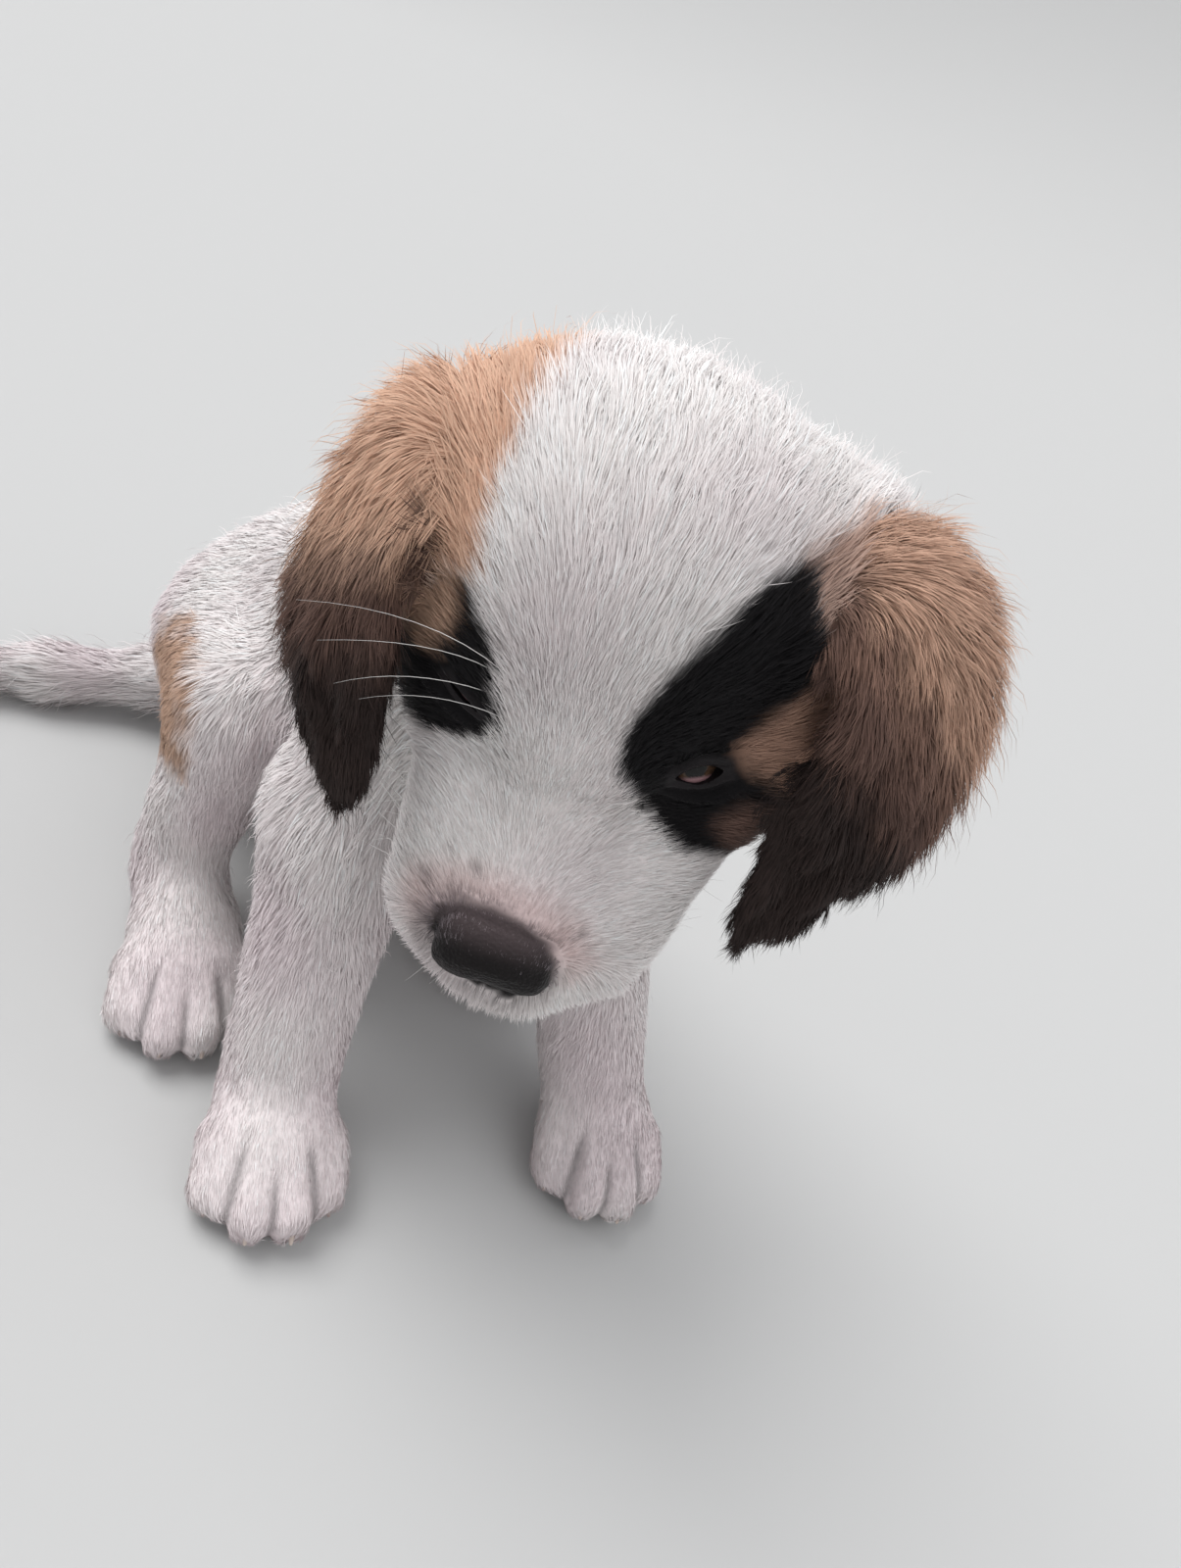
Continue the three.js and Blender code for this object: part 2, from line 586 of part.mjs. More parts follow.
put('jaw', jaw.subtract(above(neckCut.point, neckCut.normal, -air)), colours.white);
for (const side of ['l', 'r']) {
  put('ear_' + side, ear(earShapes[side]).subtract(headFat), colours.tan);
}

// Neck, torso, tail
const neckSolid = skin(frontField, V(-90, 150, 120), V(100, 340, 310), 9);
let neck = neckSolid.intersect(above(neckCut.point, neckCut.normal, air / 2));
neck = neck.subtract(above(chestCut.point, chestCut.normal, -air / 2)).subtract(jawFat);
put('neck', neck, colours.white);
const bodyWhole = skin(wholeTrunk, V(-110, 170, -6), V(110, 460, 270), 12.5);
let torso = bodyWhole.intersect(above(chestCut.point, chestCut.normal, air / 2));
torso = torso.subtract(headFat.subtract(above(neckCut.point, neckCut.normal, air / 2))).subtract(jawFat);
torso = take(torso, 'foreleg_r', 'foreleg_l', 'thigh_r', 'thigh_l', 'hock_r', 'hock_l').subtract(floor);
put('torso', torso, colours.white);
const bodyFat = fatten(bodyWhole, air + 0.1);
let tail = skin(tailField, V(-180, 370, -4), V(30, 470, 80), 8.5).subtract(bodyFat).subtract(floor);

// Claws, curved and blunt, each sunk a little into the end of its toe
const toes = [
  [-17.8, -29.5, 10, -0.25],
  [-6.6, -39.5, 11.5, -0.05],
  [6.6, -39.5, 11.5, 0.05],
  [17.8, -29.5, 10, 0.25],
];
function claw(toe, frame, grow = 0) {
  const [x, y, z, turn] = toe;
  const path = [V(0, 1, 0), V(0, -clawLength * 0.6, -0.6), V(0, -clawLength, -5 - grow)];
  const curve = new THREE.QuadraticBezierCurve3(...path);
  const rings = 3;
  const sides = 5;
  const g = new THREE.TubeGeometry(curve, rings, 1, sides, false);
  const p = g.attributes.position;
  const centre = V(0, 0, 0);
  for (let i = 0; i < p.count; i += 1) {
    const t = Math.floor(i / (sides + 1)) / rings;
    curve.getPointAt(t, centre);
    const v = V(p.getX(i), p.getY(i), p.getZ(i)).sub(centre);
    v.multiplyScalar(clawThick * (1 - 0.62 * t) + grow).add(centre);
    p.setXYZ(i, v.x, v.y, v.z);
  }
  const index = Array.from(g.index.array);
  const last = rings * (sides + 1);
  for (let i = 1; i < sides - 1; i += 1) {
    index.push(0, i, i + 1);
    index.push(last, last + i + 1, last + i);
  }
  g.setIndex(index);
  g.rotateZ(turn).translate(x, y, z);
  return solidOf(g, frame);
}

// Legs
const kept = (name, field, s, from, to, cell) => {
  const xs = s < 0 ? [-to.x, -from.x] : [from.x, to.x];
  const whole = skin(field, V(xs[0], from.y, from.z), V(xs[1], to.y, to.z), cell);
  return whole.intersect(boxOf(...boxes[name])).subtract(floor);
};
const pawWithClaws = (name, solid, frame, tag) => {
  let paw = solid;
  toes.forEach((toe, i) => {
    paw = paw.subtract(claw(toe, frame, air));
    put('claw_' + tag + '_' + (i + 1), claw(toe, frame), colours.claw, 0.4);
  });
  put(name, paw, colours.white);
};
for (const s of [-1, 1]) {
  const n = s < 0 ? 'r' : 'l';
  const i = s < 0 ? 0 : 1;
  const front = withForeleg[i];
  const hind = withHindleg[i];
  const foreleg = kept('foreleg_' + n, front, s, V(-10, 150, 18), V(110, 280, 142), [9.5, 9.5, 13]);
  put('foreleg_' + n, take(foreleg, 'forepaw_' + n), colours.white);
  const forepaw = kept('forepaw_' + n, front, s, V(-10, 115, -4), V(120, 280, 50), 5.8);
  pawWithClaws('forepaw_' + n, forepaw, forelegs[i].paw, 'fore_' + n);
  const foreOnly = blend(10, forelegFields[i], forepawFields[i]);
  const clear = skin(foreOnly, V(-120, 150, -4), V(120, 290, 150), 8, new THREE.Matrix4(), air + 0.8);
  const thigh = kept('thigh_' + n, hind, s, V(4, 246, -4), V(120, 452, 172), 12);
  tail = tail.subtract(fatten(thigh, air + 0.1));
  put('thigh_' + n, take(thigh, 'hock_' + n, 'foreleg_' + n), colours.white);
  const hock = kept('hock_' + n, hind, s, V(18, 216, -4), V(112, 350, 84), 7);
  put('hock_' + n, take(hock, 'hindpaw_' + n), colours.white);
  const hindpaw = kept('hindpaw_' + n, hind, s, V(18, 200, -4), V(112, 300, 54), 6.2);
  pawWithClaws('hindpaw_' + n, hindpaw.subtract(clear), hindlegs[i].paw, 'hind_' + n);
}
put('tail', tail, colours.white);

// The origin is the middle of the part's footprint, on the floor
const extent = new THREE.Box3().setFromObject(puppy);
const middle = extent.getCenter(V(0, 0, 0));
puppy.children.forEach((mesh) => mesh.geometry.translate(-middle.x, -middle.y, 0));

export default puppy;
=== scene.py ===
import json
import math
import bpy
import numpy as np
from mathutils import Matrix, Vector
from mathutils.bvhtree import BVHTree
from mathutils.kdtree import KDTree

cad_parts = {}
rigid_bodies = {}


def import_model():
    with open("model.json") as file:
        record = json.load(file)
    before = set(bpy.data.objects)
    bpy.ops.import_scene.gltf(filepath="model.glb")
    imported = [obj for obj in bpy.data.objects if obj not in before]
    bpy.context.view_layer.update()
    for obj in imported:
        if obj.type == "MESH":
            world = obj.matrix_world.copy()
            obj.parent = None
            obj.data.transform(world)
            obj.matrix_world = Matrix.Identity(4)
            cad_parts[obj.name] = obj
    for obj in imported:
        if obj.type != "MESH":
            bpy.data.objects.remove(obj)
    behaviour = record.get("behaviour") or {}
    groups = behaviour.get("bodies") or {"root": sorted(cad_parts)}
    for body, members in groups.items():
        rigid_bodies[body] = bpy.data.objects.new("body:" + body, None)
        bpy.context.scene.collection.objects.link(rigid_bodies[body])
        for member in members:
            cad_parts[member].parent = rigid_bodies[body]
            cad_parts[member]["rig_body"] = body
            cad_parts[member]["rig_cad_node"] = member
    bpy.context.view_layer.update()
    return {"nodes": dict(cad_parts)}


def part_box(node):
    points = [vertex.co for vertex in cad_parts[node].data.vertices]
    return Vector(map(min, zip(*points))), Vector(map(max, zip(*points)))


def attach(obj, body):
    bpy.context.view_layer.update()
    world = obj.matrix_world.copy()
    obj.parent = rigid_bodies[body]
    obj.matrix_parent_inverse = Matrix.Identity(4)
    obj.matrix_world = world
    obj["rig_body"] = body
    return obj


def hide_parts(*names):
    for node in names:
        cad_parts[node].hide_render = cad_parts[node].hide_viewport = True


# A Saint Bernard puppy sitting with its head bowed, as a still life-size model
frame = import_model()
nodes = frame["nodes"]
draw = np.random.default_rng(8)


def deselectAll():
    if bpy.context.object and bpy.context.object.mode != "OBJECT":
        bpy.ops.object.mode_set(mode="OBJECT")
    bpy.ops.object.select_all(action="DESELECT")


def choose(obj):
    deselectAll()
    obj.select_set(True)
    bpy.context.view_layer.objects.active = obj
    return obj


def editAll(obj, *changes):
    choose(obj)
    bpy.ops.object.mode_set(mode="EDIT")
    bpy.ops.mesh.select_all(action="SELECT")
    for change in changes:
        change()
    bpy.ops.object.mode_set(mode="OBJECT")


def turnOutwards():
    bpy.ops.mesh.normals_make_consistent(inside=False)


def shadeSmooth(obj):
    choose(obj)
    bpy.ops.object.shade_smooth()


def applyAll(obj):
    choose(obj)
    for m in list(obj.modifiers):
        bpy.ops.object.modifier_apply(modifier=m.name)
    return obj


def readAll(items, name, width, kind=float):
    flat = np.empty(len(items) * width, kind)
    items.foreach_get(name, flat)
    return flat.reshape(-1, width)


def pointsOf(obj):
    return readAll(obj.data.vertices, "co", 3)


def setPoints(obj, points):
    obj.data.vertices.foreach_set("co", np.asarray(points, float).ravel())
    obj.data.update()


def normalsOf(obj):
    return readAll(obj.data.vertex_normals, "vector", 3)


def unit(v):
    return v / np.maximum(np.linalg.norm(v, axis=-1, keepdims=True), 1e-12)


def smoothStep(x, low, high):
    t = np.clip((x - low) / (high - low), 0, 1)
    return t * t * (3 - 2 * t)


def bell(x, middle, width):
    return np.exp(-((x - middle) / width) ** 2)


def paintVertices(obj, name, colours):
    layer = obj.data.color_attributes.new(name, "FLOAT_COLOR", "POINT")
    full = np.ones((len(colours), 4))
    full[:, :3] = colours
    layer.data.foreach_set("color", full.ravel())


def copyOfNodes(names, name):
    deselectAll()
    copies = []
    for n in names:
        copy = nodes[n].copy()
        copy.data = nodes[n].data.copy()
        copy.parent = None
        bpy.context.scene.collection.objects.link(copy)
        copies.append(copy)
    for c in copies:
        c.select_set(True)
    bpy.context.view_layer.objects.active = copies[0]
    bpy.ops.object.join()
    joined = bpy.context.object
    joined.name = name
    joined.data.materials.clear()
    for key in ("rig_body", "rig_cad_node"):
        if key in joined:
            del joined[key]
    editAll(joined, lambda: bpy.ops.mesh.remove_doubles(threshold=0.00002))
    return joined


def remeshed(obj, cell, rounds, grow=0.0):
    if grow:
        m = obj.modifiers.new("grow", "DISPLACE")
        m.strength = grow
        m.mid_level = 0
    m = obj.modifiers.new("fine", "REMESH")
    m.mode = "VOXEL"
    m.voxel_size = cell
    m = obj.modifiers.new("relax", "SMOOTH")
    m.factor = 0.5
    m.iterations = rounds
    return applyAll(obj)


# The head's own directions, and lengths in steps from the point between the eyes
headPose = {
    "left": (0.8, -0.594, 0.087), "up": (-0.549, -0.664, 0.508), "step": 0.00115, "eye": (25.0, 7.0, -1.0),
    "over floor": (-18.6, 169, 194.5),
}
headLeft = unit(np.array(headPose["left"]))
headUp = unit(np.array(headPose["up"]))
headBack = unit(np.cross(headUp, headLeft))
headUp = np.cross(headLeft, headBack)
headAxes = np.stack([headLeft, headBack, headUp])
step = headPose["step"]
eyeMiddle = {s: np.array(sum(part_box("eye_" + s), Vector()) / 2) for s in "lr"}
eyesAhead = np.array([0, headPose["eye"][1], headPose["eye"][2]])
headAt = (eyeMiddle["l"] + eyeMiddle["r"]) / 2 - eyesAhead * step @ headAxes


def toHead(p):
    return (np.asarray(p) - headAt) @ headAxes.T / step


def fromHead(h):
    return headAt + np.asarray(h, float) * step @ headAxes


# The same steps in the part's own directions, from a point on the floor
standAt = headAt - np.array(headPose["over floor"]) * step


def fromBody(w):
    return standAt + np.asarray(w, float) * step


def toBody(p):
    return (np.asarray(p) - standAt) / step


# Eyes: where they look, how the lids lie, and half the opening's width and height
eyeLook = {
    "radius": 8.0, "ball": 9.1, "cut": 5.0, "ahead": 1.5,
    "look": (0.32, -0.40, 0.86),
    "slit": (0.9, 0.40, 0.06),
    "open": {"l": (5.9, 3.3), "r": (5.4, 0.8)},
    "white": (0.17, 0.115, 0.105), "iris": (0.07, 0.040, 0.025), "haw": (0.24, 0.135, 0.145),
    "iris edge": (41, 45), "pupil edge": (15, 18), "turn": 0.06,
    "haw edge": 0.42, "cornea": 0.05, "haw out": 0.035,
}


def eyeAxes(side):
    s = 1 if side == "l" else -1
    look = unit(np.array(eyeLook["look"]) * [s, 1, 1])
    along = np.array(eyeLook["slit"]) * [s, 1, 1]
    along = unit(along - look * (along @ look))
    return look, along, np.cross(look, along) * s


def lidArc(u, wide, tall):
    return tall * (1 - 0.5 * np.minimum(np.abs(u) / wide, 1) ** 2)


def eyePlace(points, side):
    look, along, over = eyeAxes(side)
    d = toHead(points) - toHead(eyeMiddle[side])
    return d @ along, d @ over, d @ look


def lidDistance(points):
    best = np.full(len(points), 1e3)
    for s in "lr":
        u, v, w = eyePlace(points, s)
        wide, tall = eyeLook["open"][s]
        d = np.hypot(np.maximum(np.abs(u) - wide, 0), np.maximum(np.abs(v) - lidArc(u, wide, tall), 0))
        best = np.where(w > -4, np.minimum(best, d), best)
    return best


# Paws: place and turn of each, which the grooves between the toes and the claws follow
pawPlaces = {
    "forepaw_r": (-46, 197, -15), "forepaw_l": (69, 174, -22),
    "hindpaw_r": (-59, 269, -12), "hindpaw_l": (66, 274, 8),
}
# each groove: how far to the side, how it bends, where it starts, half its width
toeGrooves = ((-11.5, 0.22, 12, 2.2), (0, 0, 21, 1.6), (11.5, -0.22, 12, 2.2))


def toeGroove(points):
    w = toBody(points)
    deep = np.zeros(len(points))
    for x, y, turn in pawPlaces.values():
        c, s = math.cos(math.radians(turn)), math.sin(math.radians(turn))
        dx, dy = w[:, 0] - x, w[:, 1] - y
        px, py = dx * c + dy * s, -dx * s + dy * c
        near = (np.abs(px) < 30) & (py > -46) & (py < 20) & (w[:, 2] < 40)
        for g, bend, start, wide in toeGrooves:
            groove = bell(px, g + bend * (py + 25), wide) * smoothStep(-py, start, start + 11)
            deep = np.maximum(deep, groove * near)
    return deep


# Skin: one closed surface, under the tips of the coat by the depth of each part, in metres
skinLook = {
    "cell": 0.0027, "overlap": 0.0006, "smoothing": 4, "socket": 1.8,
    "depth": {
        "head": 0.0034, "jaw": 0.001, "nose": 0.0034, "ear": 0.0004, "neck": 0.006, "torso": 0.0056,
        "foreleg": 0.0030, "forepaw": 0.0021, "thigh": 0.005, "hock": 0.0032, "hindpaw": 0.0018,
        "tail": 0.0026,
    },
    "muzzle": 0.0009, "forehead": 0.0014, "crown": 0.0022, "bare": 0.0005,
    "nose front": 0.0002, "nose back": 0.0032, "beside ear": -0.0004, "sole": 0.0006,
    "blend": 40, "face blend": 8, "settle": 6, "ear softening": 3,
}
fleshNames = ["head", "jaw", "nose", "ear_l", "ear_r", "neck", "torso", "tail"]
fleshNames += [p + s for p in ("foreleg_", "forepaw_", "thigh_", "hock_", "hindpaw_") for s in "lr"]
partNames = np.array([n.split("_")[0] for n in fleshNames])

# where each place on the surface belongs, from the nearest CAD face
treePoints, treeFaces, treeOwner = [], [], []
for i, n in enumerate(fleshNames):
    mesh = nodes[n].data
    start = len(treePoints)
    treePoints += [v.co.copy() for v in mesh.vertices]
    treeFaces += [[start + v for v in p.vertices] for p in mesh.polygons]
    treeOwner += [i] * len(mesh.polygons)
cadTree = BVHTree.FromPolygons(treePoints, treeFaces)
treeOwner = np.array(treeOwner)


def ownersOf(points):
    found = [cadTree.find_nearest(Vector(p))[2] for p in points]
    return treeOwner[np.array(found)]


def distanceTo(name, points, reach):
    mesh = nodes[name].data
    tree = BVHTree.FromPolygons([v.co for v in mesh.vertices], [list(p.vertices) for p in mesh.polygons])
    found = [tree.find_nearest(Vector(p), reach)[3] for p in points]
    return np.array([reach if d is None else d for d in found])


skin = copyOfNodes(fleshNames, "skin")
sockets = []
for s in "lr":  # the sockets are filled, and cut again as lids
    deselectAll()
    socketRadius = (eyeLook["radius"] + skinLook["socket"]) * step
    bpy.ops.mesh.primitive_uv_sphere_add(
        segments=32, ring_count=16, radius=socketRadius, location=eyeMiddle[s])
    bpy.ops.object.transform_apply(location=True)
    sockets.append(bpy.context.object)
choose(skin)
for o in sockets:
    o.select_set(True)
bpy.ops.object.join()
remeshed(skin, skinLook["cell"], skinLook["smoothing"], skinLook["overlap"])
editAll(skin, lambda: bpy.ops.mesh.separate(type="LOOSE"))
pieces = sorted(bpy.context.selected_objects, key=lambda o: -len(o.data.vertices))
skin = pieces[0]
skin.name = "skin"
for o in pieces[1:]:
    bpy.data.objects.remove(o)
choose(skin)
print("skin joined", len(skin.data.vertices))

# the skin lies under the tips of the coat by its depth
co = pointsOf(skin)
owner = ownersOf(co)
part = partNames[owner]
depth = np.array([skinLook["depth"][p] for p in partNames])[owner]
h = toHead(co)
onHead = part == "head"
upFace, upCrown = smoothStep(h[:, 1], -30, 0), smoothStep(h[:, 1], 10, 45)
onFaceDepth = skinLook["muzzle"] + skinLook["forehead"] * upFace + skinLook["crown"] * upCrown
depth = np.where(onHead, onFaceDepth, depth)
onNoseDepth = skinLook["nose front"] + skinLook["nose back"] * smoothStep(-h[:, 1], 53, 59)
depth = np.where(part == "nose", onNoseDepth, depth)
besideEar = onHead & (h[:, 0] > 38) & (h[:, 1] > -12) & (h[:, 1] < 42)
depth[besideEar] = skinLook["beside ear"]
awayFromLids = smoothStep(lidDistance(co), 3, 16)
depth = np.where(onHead, skinLook["bare"] + (depth - skinLook["bare"]) * awayFromLids, depth)
normals = normalsOf(skin)
depth[(normals[:, 2] < -0.7) & (co[:, 2] < 0.004)] = skinLook["sole"]
pairs = readAll(skin.data.edges, "vertices", 2, int)
neighbours = np.maximum(np.bincount(pairs.ravel(), minlength=len(co)), 1)


def spread(value, times):
    for _ in range(times):
        total = np.bincount(pairs[:, 0], value[pairs[:, 1]], len(co))
        total = total + np.bincount(pairs[:, 1], value[pairs[:, 0]], len(co))
        value = 0.5 * value + 0.5 * total / neighbours
    return value


def aboveCad(points):
    found = [cadTree.find_nearest(Vector(p)) for p in points]
    return np.array([(Vector(p) - f[0]).dot(f[1]) for p, f in zip(points, found)])


# smoothing has shrunk the small forms, which is made up here, and no step is left from part to part
onFace = spread(np.isin(part, ["head", "nose", "jaw"]).astype(float), skinLook["face blend"])
depth = depth * onFace + spread(depth, skinLook["blend"]) * (1 - onFace)
shrunk = np.clip(aboveCad(co), -0.003, 0.0012)
depth = spread(shrunk, skinLook["settle"]) + spread(depth, skinLook["settle"])
setPoints(skin, co - normals * depth[:, None])
earGroup = skin.vertex_groups.new(name="ears")
earGroup.add([int(i) for i in np.flatnonzero(part == "ear")], 1, "REPLACE")
soften = skin.modifiers.new("soften", "SMOOTH")
soften.factor = 0.5
soften.iterations = skinLook["ear softening"]
soften.vertex_group = "ears"
applyAll(skin)
print("skin set in by the coat's depth")


def selectNear(obj, test):
    choose(obj)
    bpy.ops.object.mode_set(mode="EDIT")
    bpy.ops.mesh.select_mode(type="FACE")
    bpy.ops.mesh.select_all(action="DESELECT")
    bpy.ops.object.mode_set(mode="OBJECT")
    obj.data.polygons.foreach_set("select", test(readAll(obj.data.polygons, "center", 3)))
    bpy.ops.object.mode_set(mode="EDIT")


def aroundNose(c):
    x, y, z = toHead(c).T
    return (np.abs(x + 3) < 25) & (y < -38) & (y > -84) & (z > -46)


def aroundMouth(c):
    x, y, z = toHead(c).T
    return (np.abs(x) < 34) & (y < 0) & (y > -85) & (z < -32) & (z > -62) & ~aroundNose(c)


def aroundLids(c):
    return lidDistance(c) < 11


def aroundToes(c):
    return toeGroove(c) > 0.05


# finer skin where it has small forms
for test, cuts in ((aroundLids, 3), (aroundNose, 3), (aroundMouth, 1), (aroundToes, 1)):
    selectNear(skin, test)
    bpy.ops.mesh.subdivide(number_cuts=cuts, smoothness=0.6)
    bpy.ops.object.mode_set(mode="OBJECT")

# folds round the eyes: rim, crease and brow above, rim and bag below; height, place past the rim, width
foldLook = {
    "above": [(0.85, 0.7, 0.8), (-1.0, 2.5, 0.8), (0.9, 4.8, 1.4)],
    "below": [(0.95, 0.7, 0.8), (-0.8, 2.2, 0.7), (1.4, 4.6, 1.6), (-0.8, 7.4, 1.0)],
}
# how near the seam of head and jaw the line of the mouth lies,
# and how deep it and the grooves of the toes are
mouthLook = {
    "line": 0.0022, "fade": 0.0045, "deep": 0.0010,
    "rim": 0.0020, "rim fade": 0.0034, "toes": 0.0017,
}


def mouthLine(points, part, line, fade):
    # 1 along the line where head and jaw meet
    near = np.flatnonzero(np.isin(part, ["head", "jaw"]) & aroundMouth(points))
    toJaw, toHeadPart = distanceTo("jaw", points[near], 0.01), distanceTo("head", points[near], 0.01)
    lip = np.zeros(len(points))
    lip[near] = 1 - smoothStep(np.where(part[near] == "jaw", toHeadPart, toJaw), line, fade)
    return lip


co = pointsOf(skin)
normals = normalsOf(skin)
lifted = np.zeros(len(co))
for s in "lr":
    u, v, w = eyePlace(co, s)
    wide, tall = eyeLook["open"][s]
    window = np.exp(-(u / (wide + 3)) ** 4) * smoothStep(w, 0, 3)
    arc = lidArc(u, wide, tall)
    for height, at, width in foldLook["above"]:
        lifted += height * bell(v, arc + at, width) * window
    for height, at, width in foldLook["below"]:
        lifted += height * bell(-v, arc + at, width) * window
owner = ownersOf(co)
part = partNames[owner]
lip = mouthLine(co, part, mouthLook["line"], mouthLook["fade"])
sunk = mouthLook["deep"] * lip + mouthLook["toes"] * toeGroove(co)
co = co + normals * (lifted * step - sunk)[:, None]

# nose and lips: the leather follows its solid closely, the front is set back,
# and the upper lip swells round it
noseLook = {
    "at": (-4.0, -66.0, -19.5), "middle": -3, "set back": 0.38, "lip": 2.8, "nostril": 2.6,
    "nostrils": (-7.2, 7.2), "hole": (3.2, 9, 2.6), "slit": (3.4, 8, 1.1), "under coat": 0.0004,
    "grey-purple top": (0.125, 0.094, 0.098), "dark": (0.006, 0.0042, 0.0045),
}
noseAt = np.array(noseLook["at"])
local = np.flatnonzero(aroundNose(co))
x, y, z = toHead(co)[local].T
fromMiddle = np.abs(x - noseLook["middle"])
over = smoothStep(z, -32, -24) * smoothStep(-y, 44, 50) * (1 - smoothStep(fromMiddle, 18, 24))
gap = np.clip(aboveCad(co[local]) + noseLook["under coat"], -0.0035, 0.0015)
co[local] -= normals[local] * (gap * over)[:, None]
h = toHead(co)
near = (np.abs(h[:, 0] - noseLook["middle"]) < 34) & (h[:, 1] < -34) & (h[:, 2] > -60)
h[:, 1] += near * noseLook["set back"] * smoothStep(h[:, 2], -30, -22) * np.maximum(-h[:, 1] - 60, 0)
outward = unit(np.stack([h[:, 0] - noseLook["middle"], h[:, 1] + 42, 0 * h[:, 0]], 1))
lessOnRight = 1 - 0.5 * smoothStep(-h[:, 0], 12, 25)
swell = near * noseLook["lip"] * bell(h[:, 2], -33, 9) * smoothStep(-h[:, 1], 42, 54) * lessOnRight
h += outward * swell[:, None]
for x in noseLook["nostrils"]:
    d = (h - noseAt - [x, 0, 0]) / noseLook["hole"]
    slit = (h - noseAt - [x * 1.55, 2.5, 2.0]) / noseLook["slit"]
    dent = np.maximum(np.exp(-(d ** 2).sum(1) ** 2), 0.6 * np.exp(-(slit ** 2).sum(1) ** 2))
    h[:, 1] += near * noseLook["nostril"] * dent * (h[:, 1] < -56)
co = np.where(near[:, None], fromHead(h), co)
setPoints(skin, co)

for s in "lr":
    look, along, over = eyeAxes(s)
    wide, tall = eyeLook["open"][s]
    deselectAll()
    bpy.ops.mesh.primitive_uv_sphere_add(segments=40, ring_count=20, radius=1)
    cutter = bpy.context.object
    shape = pointsOf(cutter)
    shape[:, 1] *= 1 - 0.5 * shape[:, 0] ** 2  # pointed corners
    local = shape * [wide, tall, eyeLook["cut"]]
    turned = np.outer(local[:, 0], along) + np.outer(local[:, 1], over) + np.outer(local[:, 2], look)
    middle = look * (eyeLook["radius"] + eyeLook["ahead"])
    setPoints(cutter, eyeMiddle[s] + middle @ headAxes * step + turned @ headAxes * step)
    editAll(cutter, turnOutwards)
    cut = skin.modifiers.new("cut", "BOOLEAN")
    cut.object = cutter
    cut.solver = "EXACT"
    applyAll(skin)
    bpy.data.objects.remove(cutter)
print("folds and lids made", len(skin.data.vertices))

# the flat map of the skin's own shape, which the coat's tufts also use
unwrapLook = {"angle_limit": math.radians(66), "island_margin": 0.002}
editAll(skin, turnOutwards, lambda: bpy.ops.uv.smart_project(**unwrapLook))
skin.data.uv_layers[0].name = "OFBake"
shadeSmooth(skin)
print("skin unwrapped", sum(len(p.vertices) - 2 for p in skin.data.polygons), "triangles")

# Markings: colours, and outlines seen from above the head
markLook = {
    "white": (0.84, 0.80, 0.785), "black": (0.006, 0.005, 0.006), "tan": (0.42, 0.25, 0.18),
    "gold": (0.70, 0.45, 0.32), "brown": (0.15, 0.088, 0.07), "deep": (0.022, 0.015, 0.014),
    "pink": (0.62, 0.40, 0.38), "grey": (0.14, 0.10, 0.105), "rust": (0.46, 0.26, 0.15),
    "fawn": (0.24, 0.14, 0.105), "lilac": (0.68, 0.57, 0.60), "sole": (0.10, 0.06, 0.06),
    "rim": (0.010, 0.008, 0.009),
}
outlines = {
    "leather": [
        (-21, -49), (-15, -46), (-7, -44.5), (1, -45.5), (8, -49), (12, -54), (13, -60), (11, -66),
        (8, -75), (-14, -75), (-18, -66), (-21, -58)],
    "maskL": [
        (9, -3), (7, 3), (8, 8), (11, 16), (15, 23), (19, 34), (24, 41), (28, 47), (33, 50), (37, 43),
        (42, 34), (50, 27), (58, 20), (62, 11), (60, 2), (54, -5), (50, -10), (44, -16), (37, -17),
        (31, -18), (23, -14), (16, -9), (11, -6)],
    "maskR": [
        (-30, 25), (-26, 18), (-22, 14), (-17, 1), (-17, -4), (-24, -8), (-33, -8), (-41, -4), (-46, 5),
        (-49, 12), (-50, 17), (-42, 21), (-36, 25)],
    "tanL": [(33, 11), (36, 18), (44, 27), (54, 28), (62, 22), (62, 10), (55, 5), (47, 4), (39, 6)],
    "tanR": [(-46, 21), (-38, 24), (-32, 25), (-31, 17), (-32, 12), (-38, 10), (-46, 12)],
    "foldR": [(-41, 33), (-39, 22), (-44, 12), (-56, 8), (-62, 30), (-50, 40)],
    "underL": [(35, -7), (41, 0), (48, 0), (58, -3), (50, -14), (40, -15)],
    "topR": [
        (-26, 88), (-29, 69), (-31, 52), (-31, 41), (-30, 31), (-30, 25), (-48, 23), (-62, 26), (-74, 43),
        (-74, 66), (-52, 94)],
    "topL": [
        (31, 50), (34, 56), (42, 63), (54, 72), (76, 78), (86, 60), (74, 40), (68, 18), (56, 20), (46, 28),
        (40, 35), (37, 42)],
}
# outlines from the first to the last laid on: shade, softness of the edge, strength
patches = (
    ("topR", "gold", 3, 1), ("topL", "tan", 3, 0.85),
    ("maskL", "black", 2.1, 1), ("maskR", "black", 1.5, 1), ("tanL", "tan", 2.6, 0.85),
    ("foldR", "brown", 2.0, 1), ("tanR", "gold", 2.2, 0.7), ("underL", "brown", 3.0, 1),
)
freckles = ((-22.5, -46.5, 1.5), (-24, -44, 1.8), (-13, -38, 1.5), (14, -46, 1.2), (-20, -36, 0.9))
# orange patches on the body: middle, half sizes, where the edge starts and ends, strength
bodyPatches = (
    ((-78, 318, 102), (22, 40, 32), 0.8, 1.15, 0.85),
    ((34, 345, 158), (46, 44, 40), 0.85, 1.12, 0.9),
)


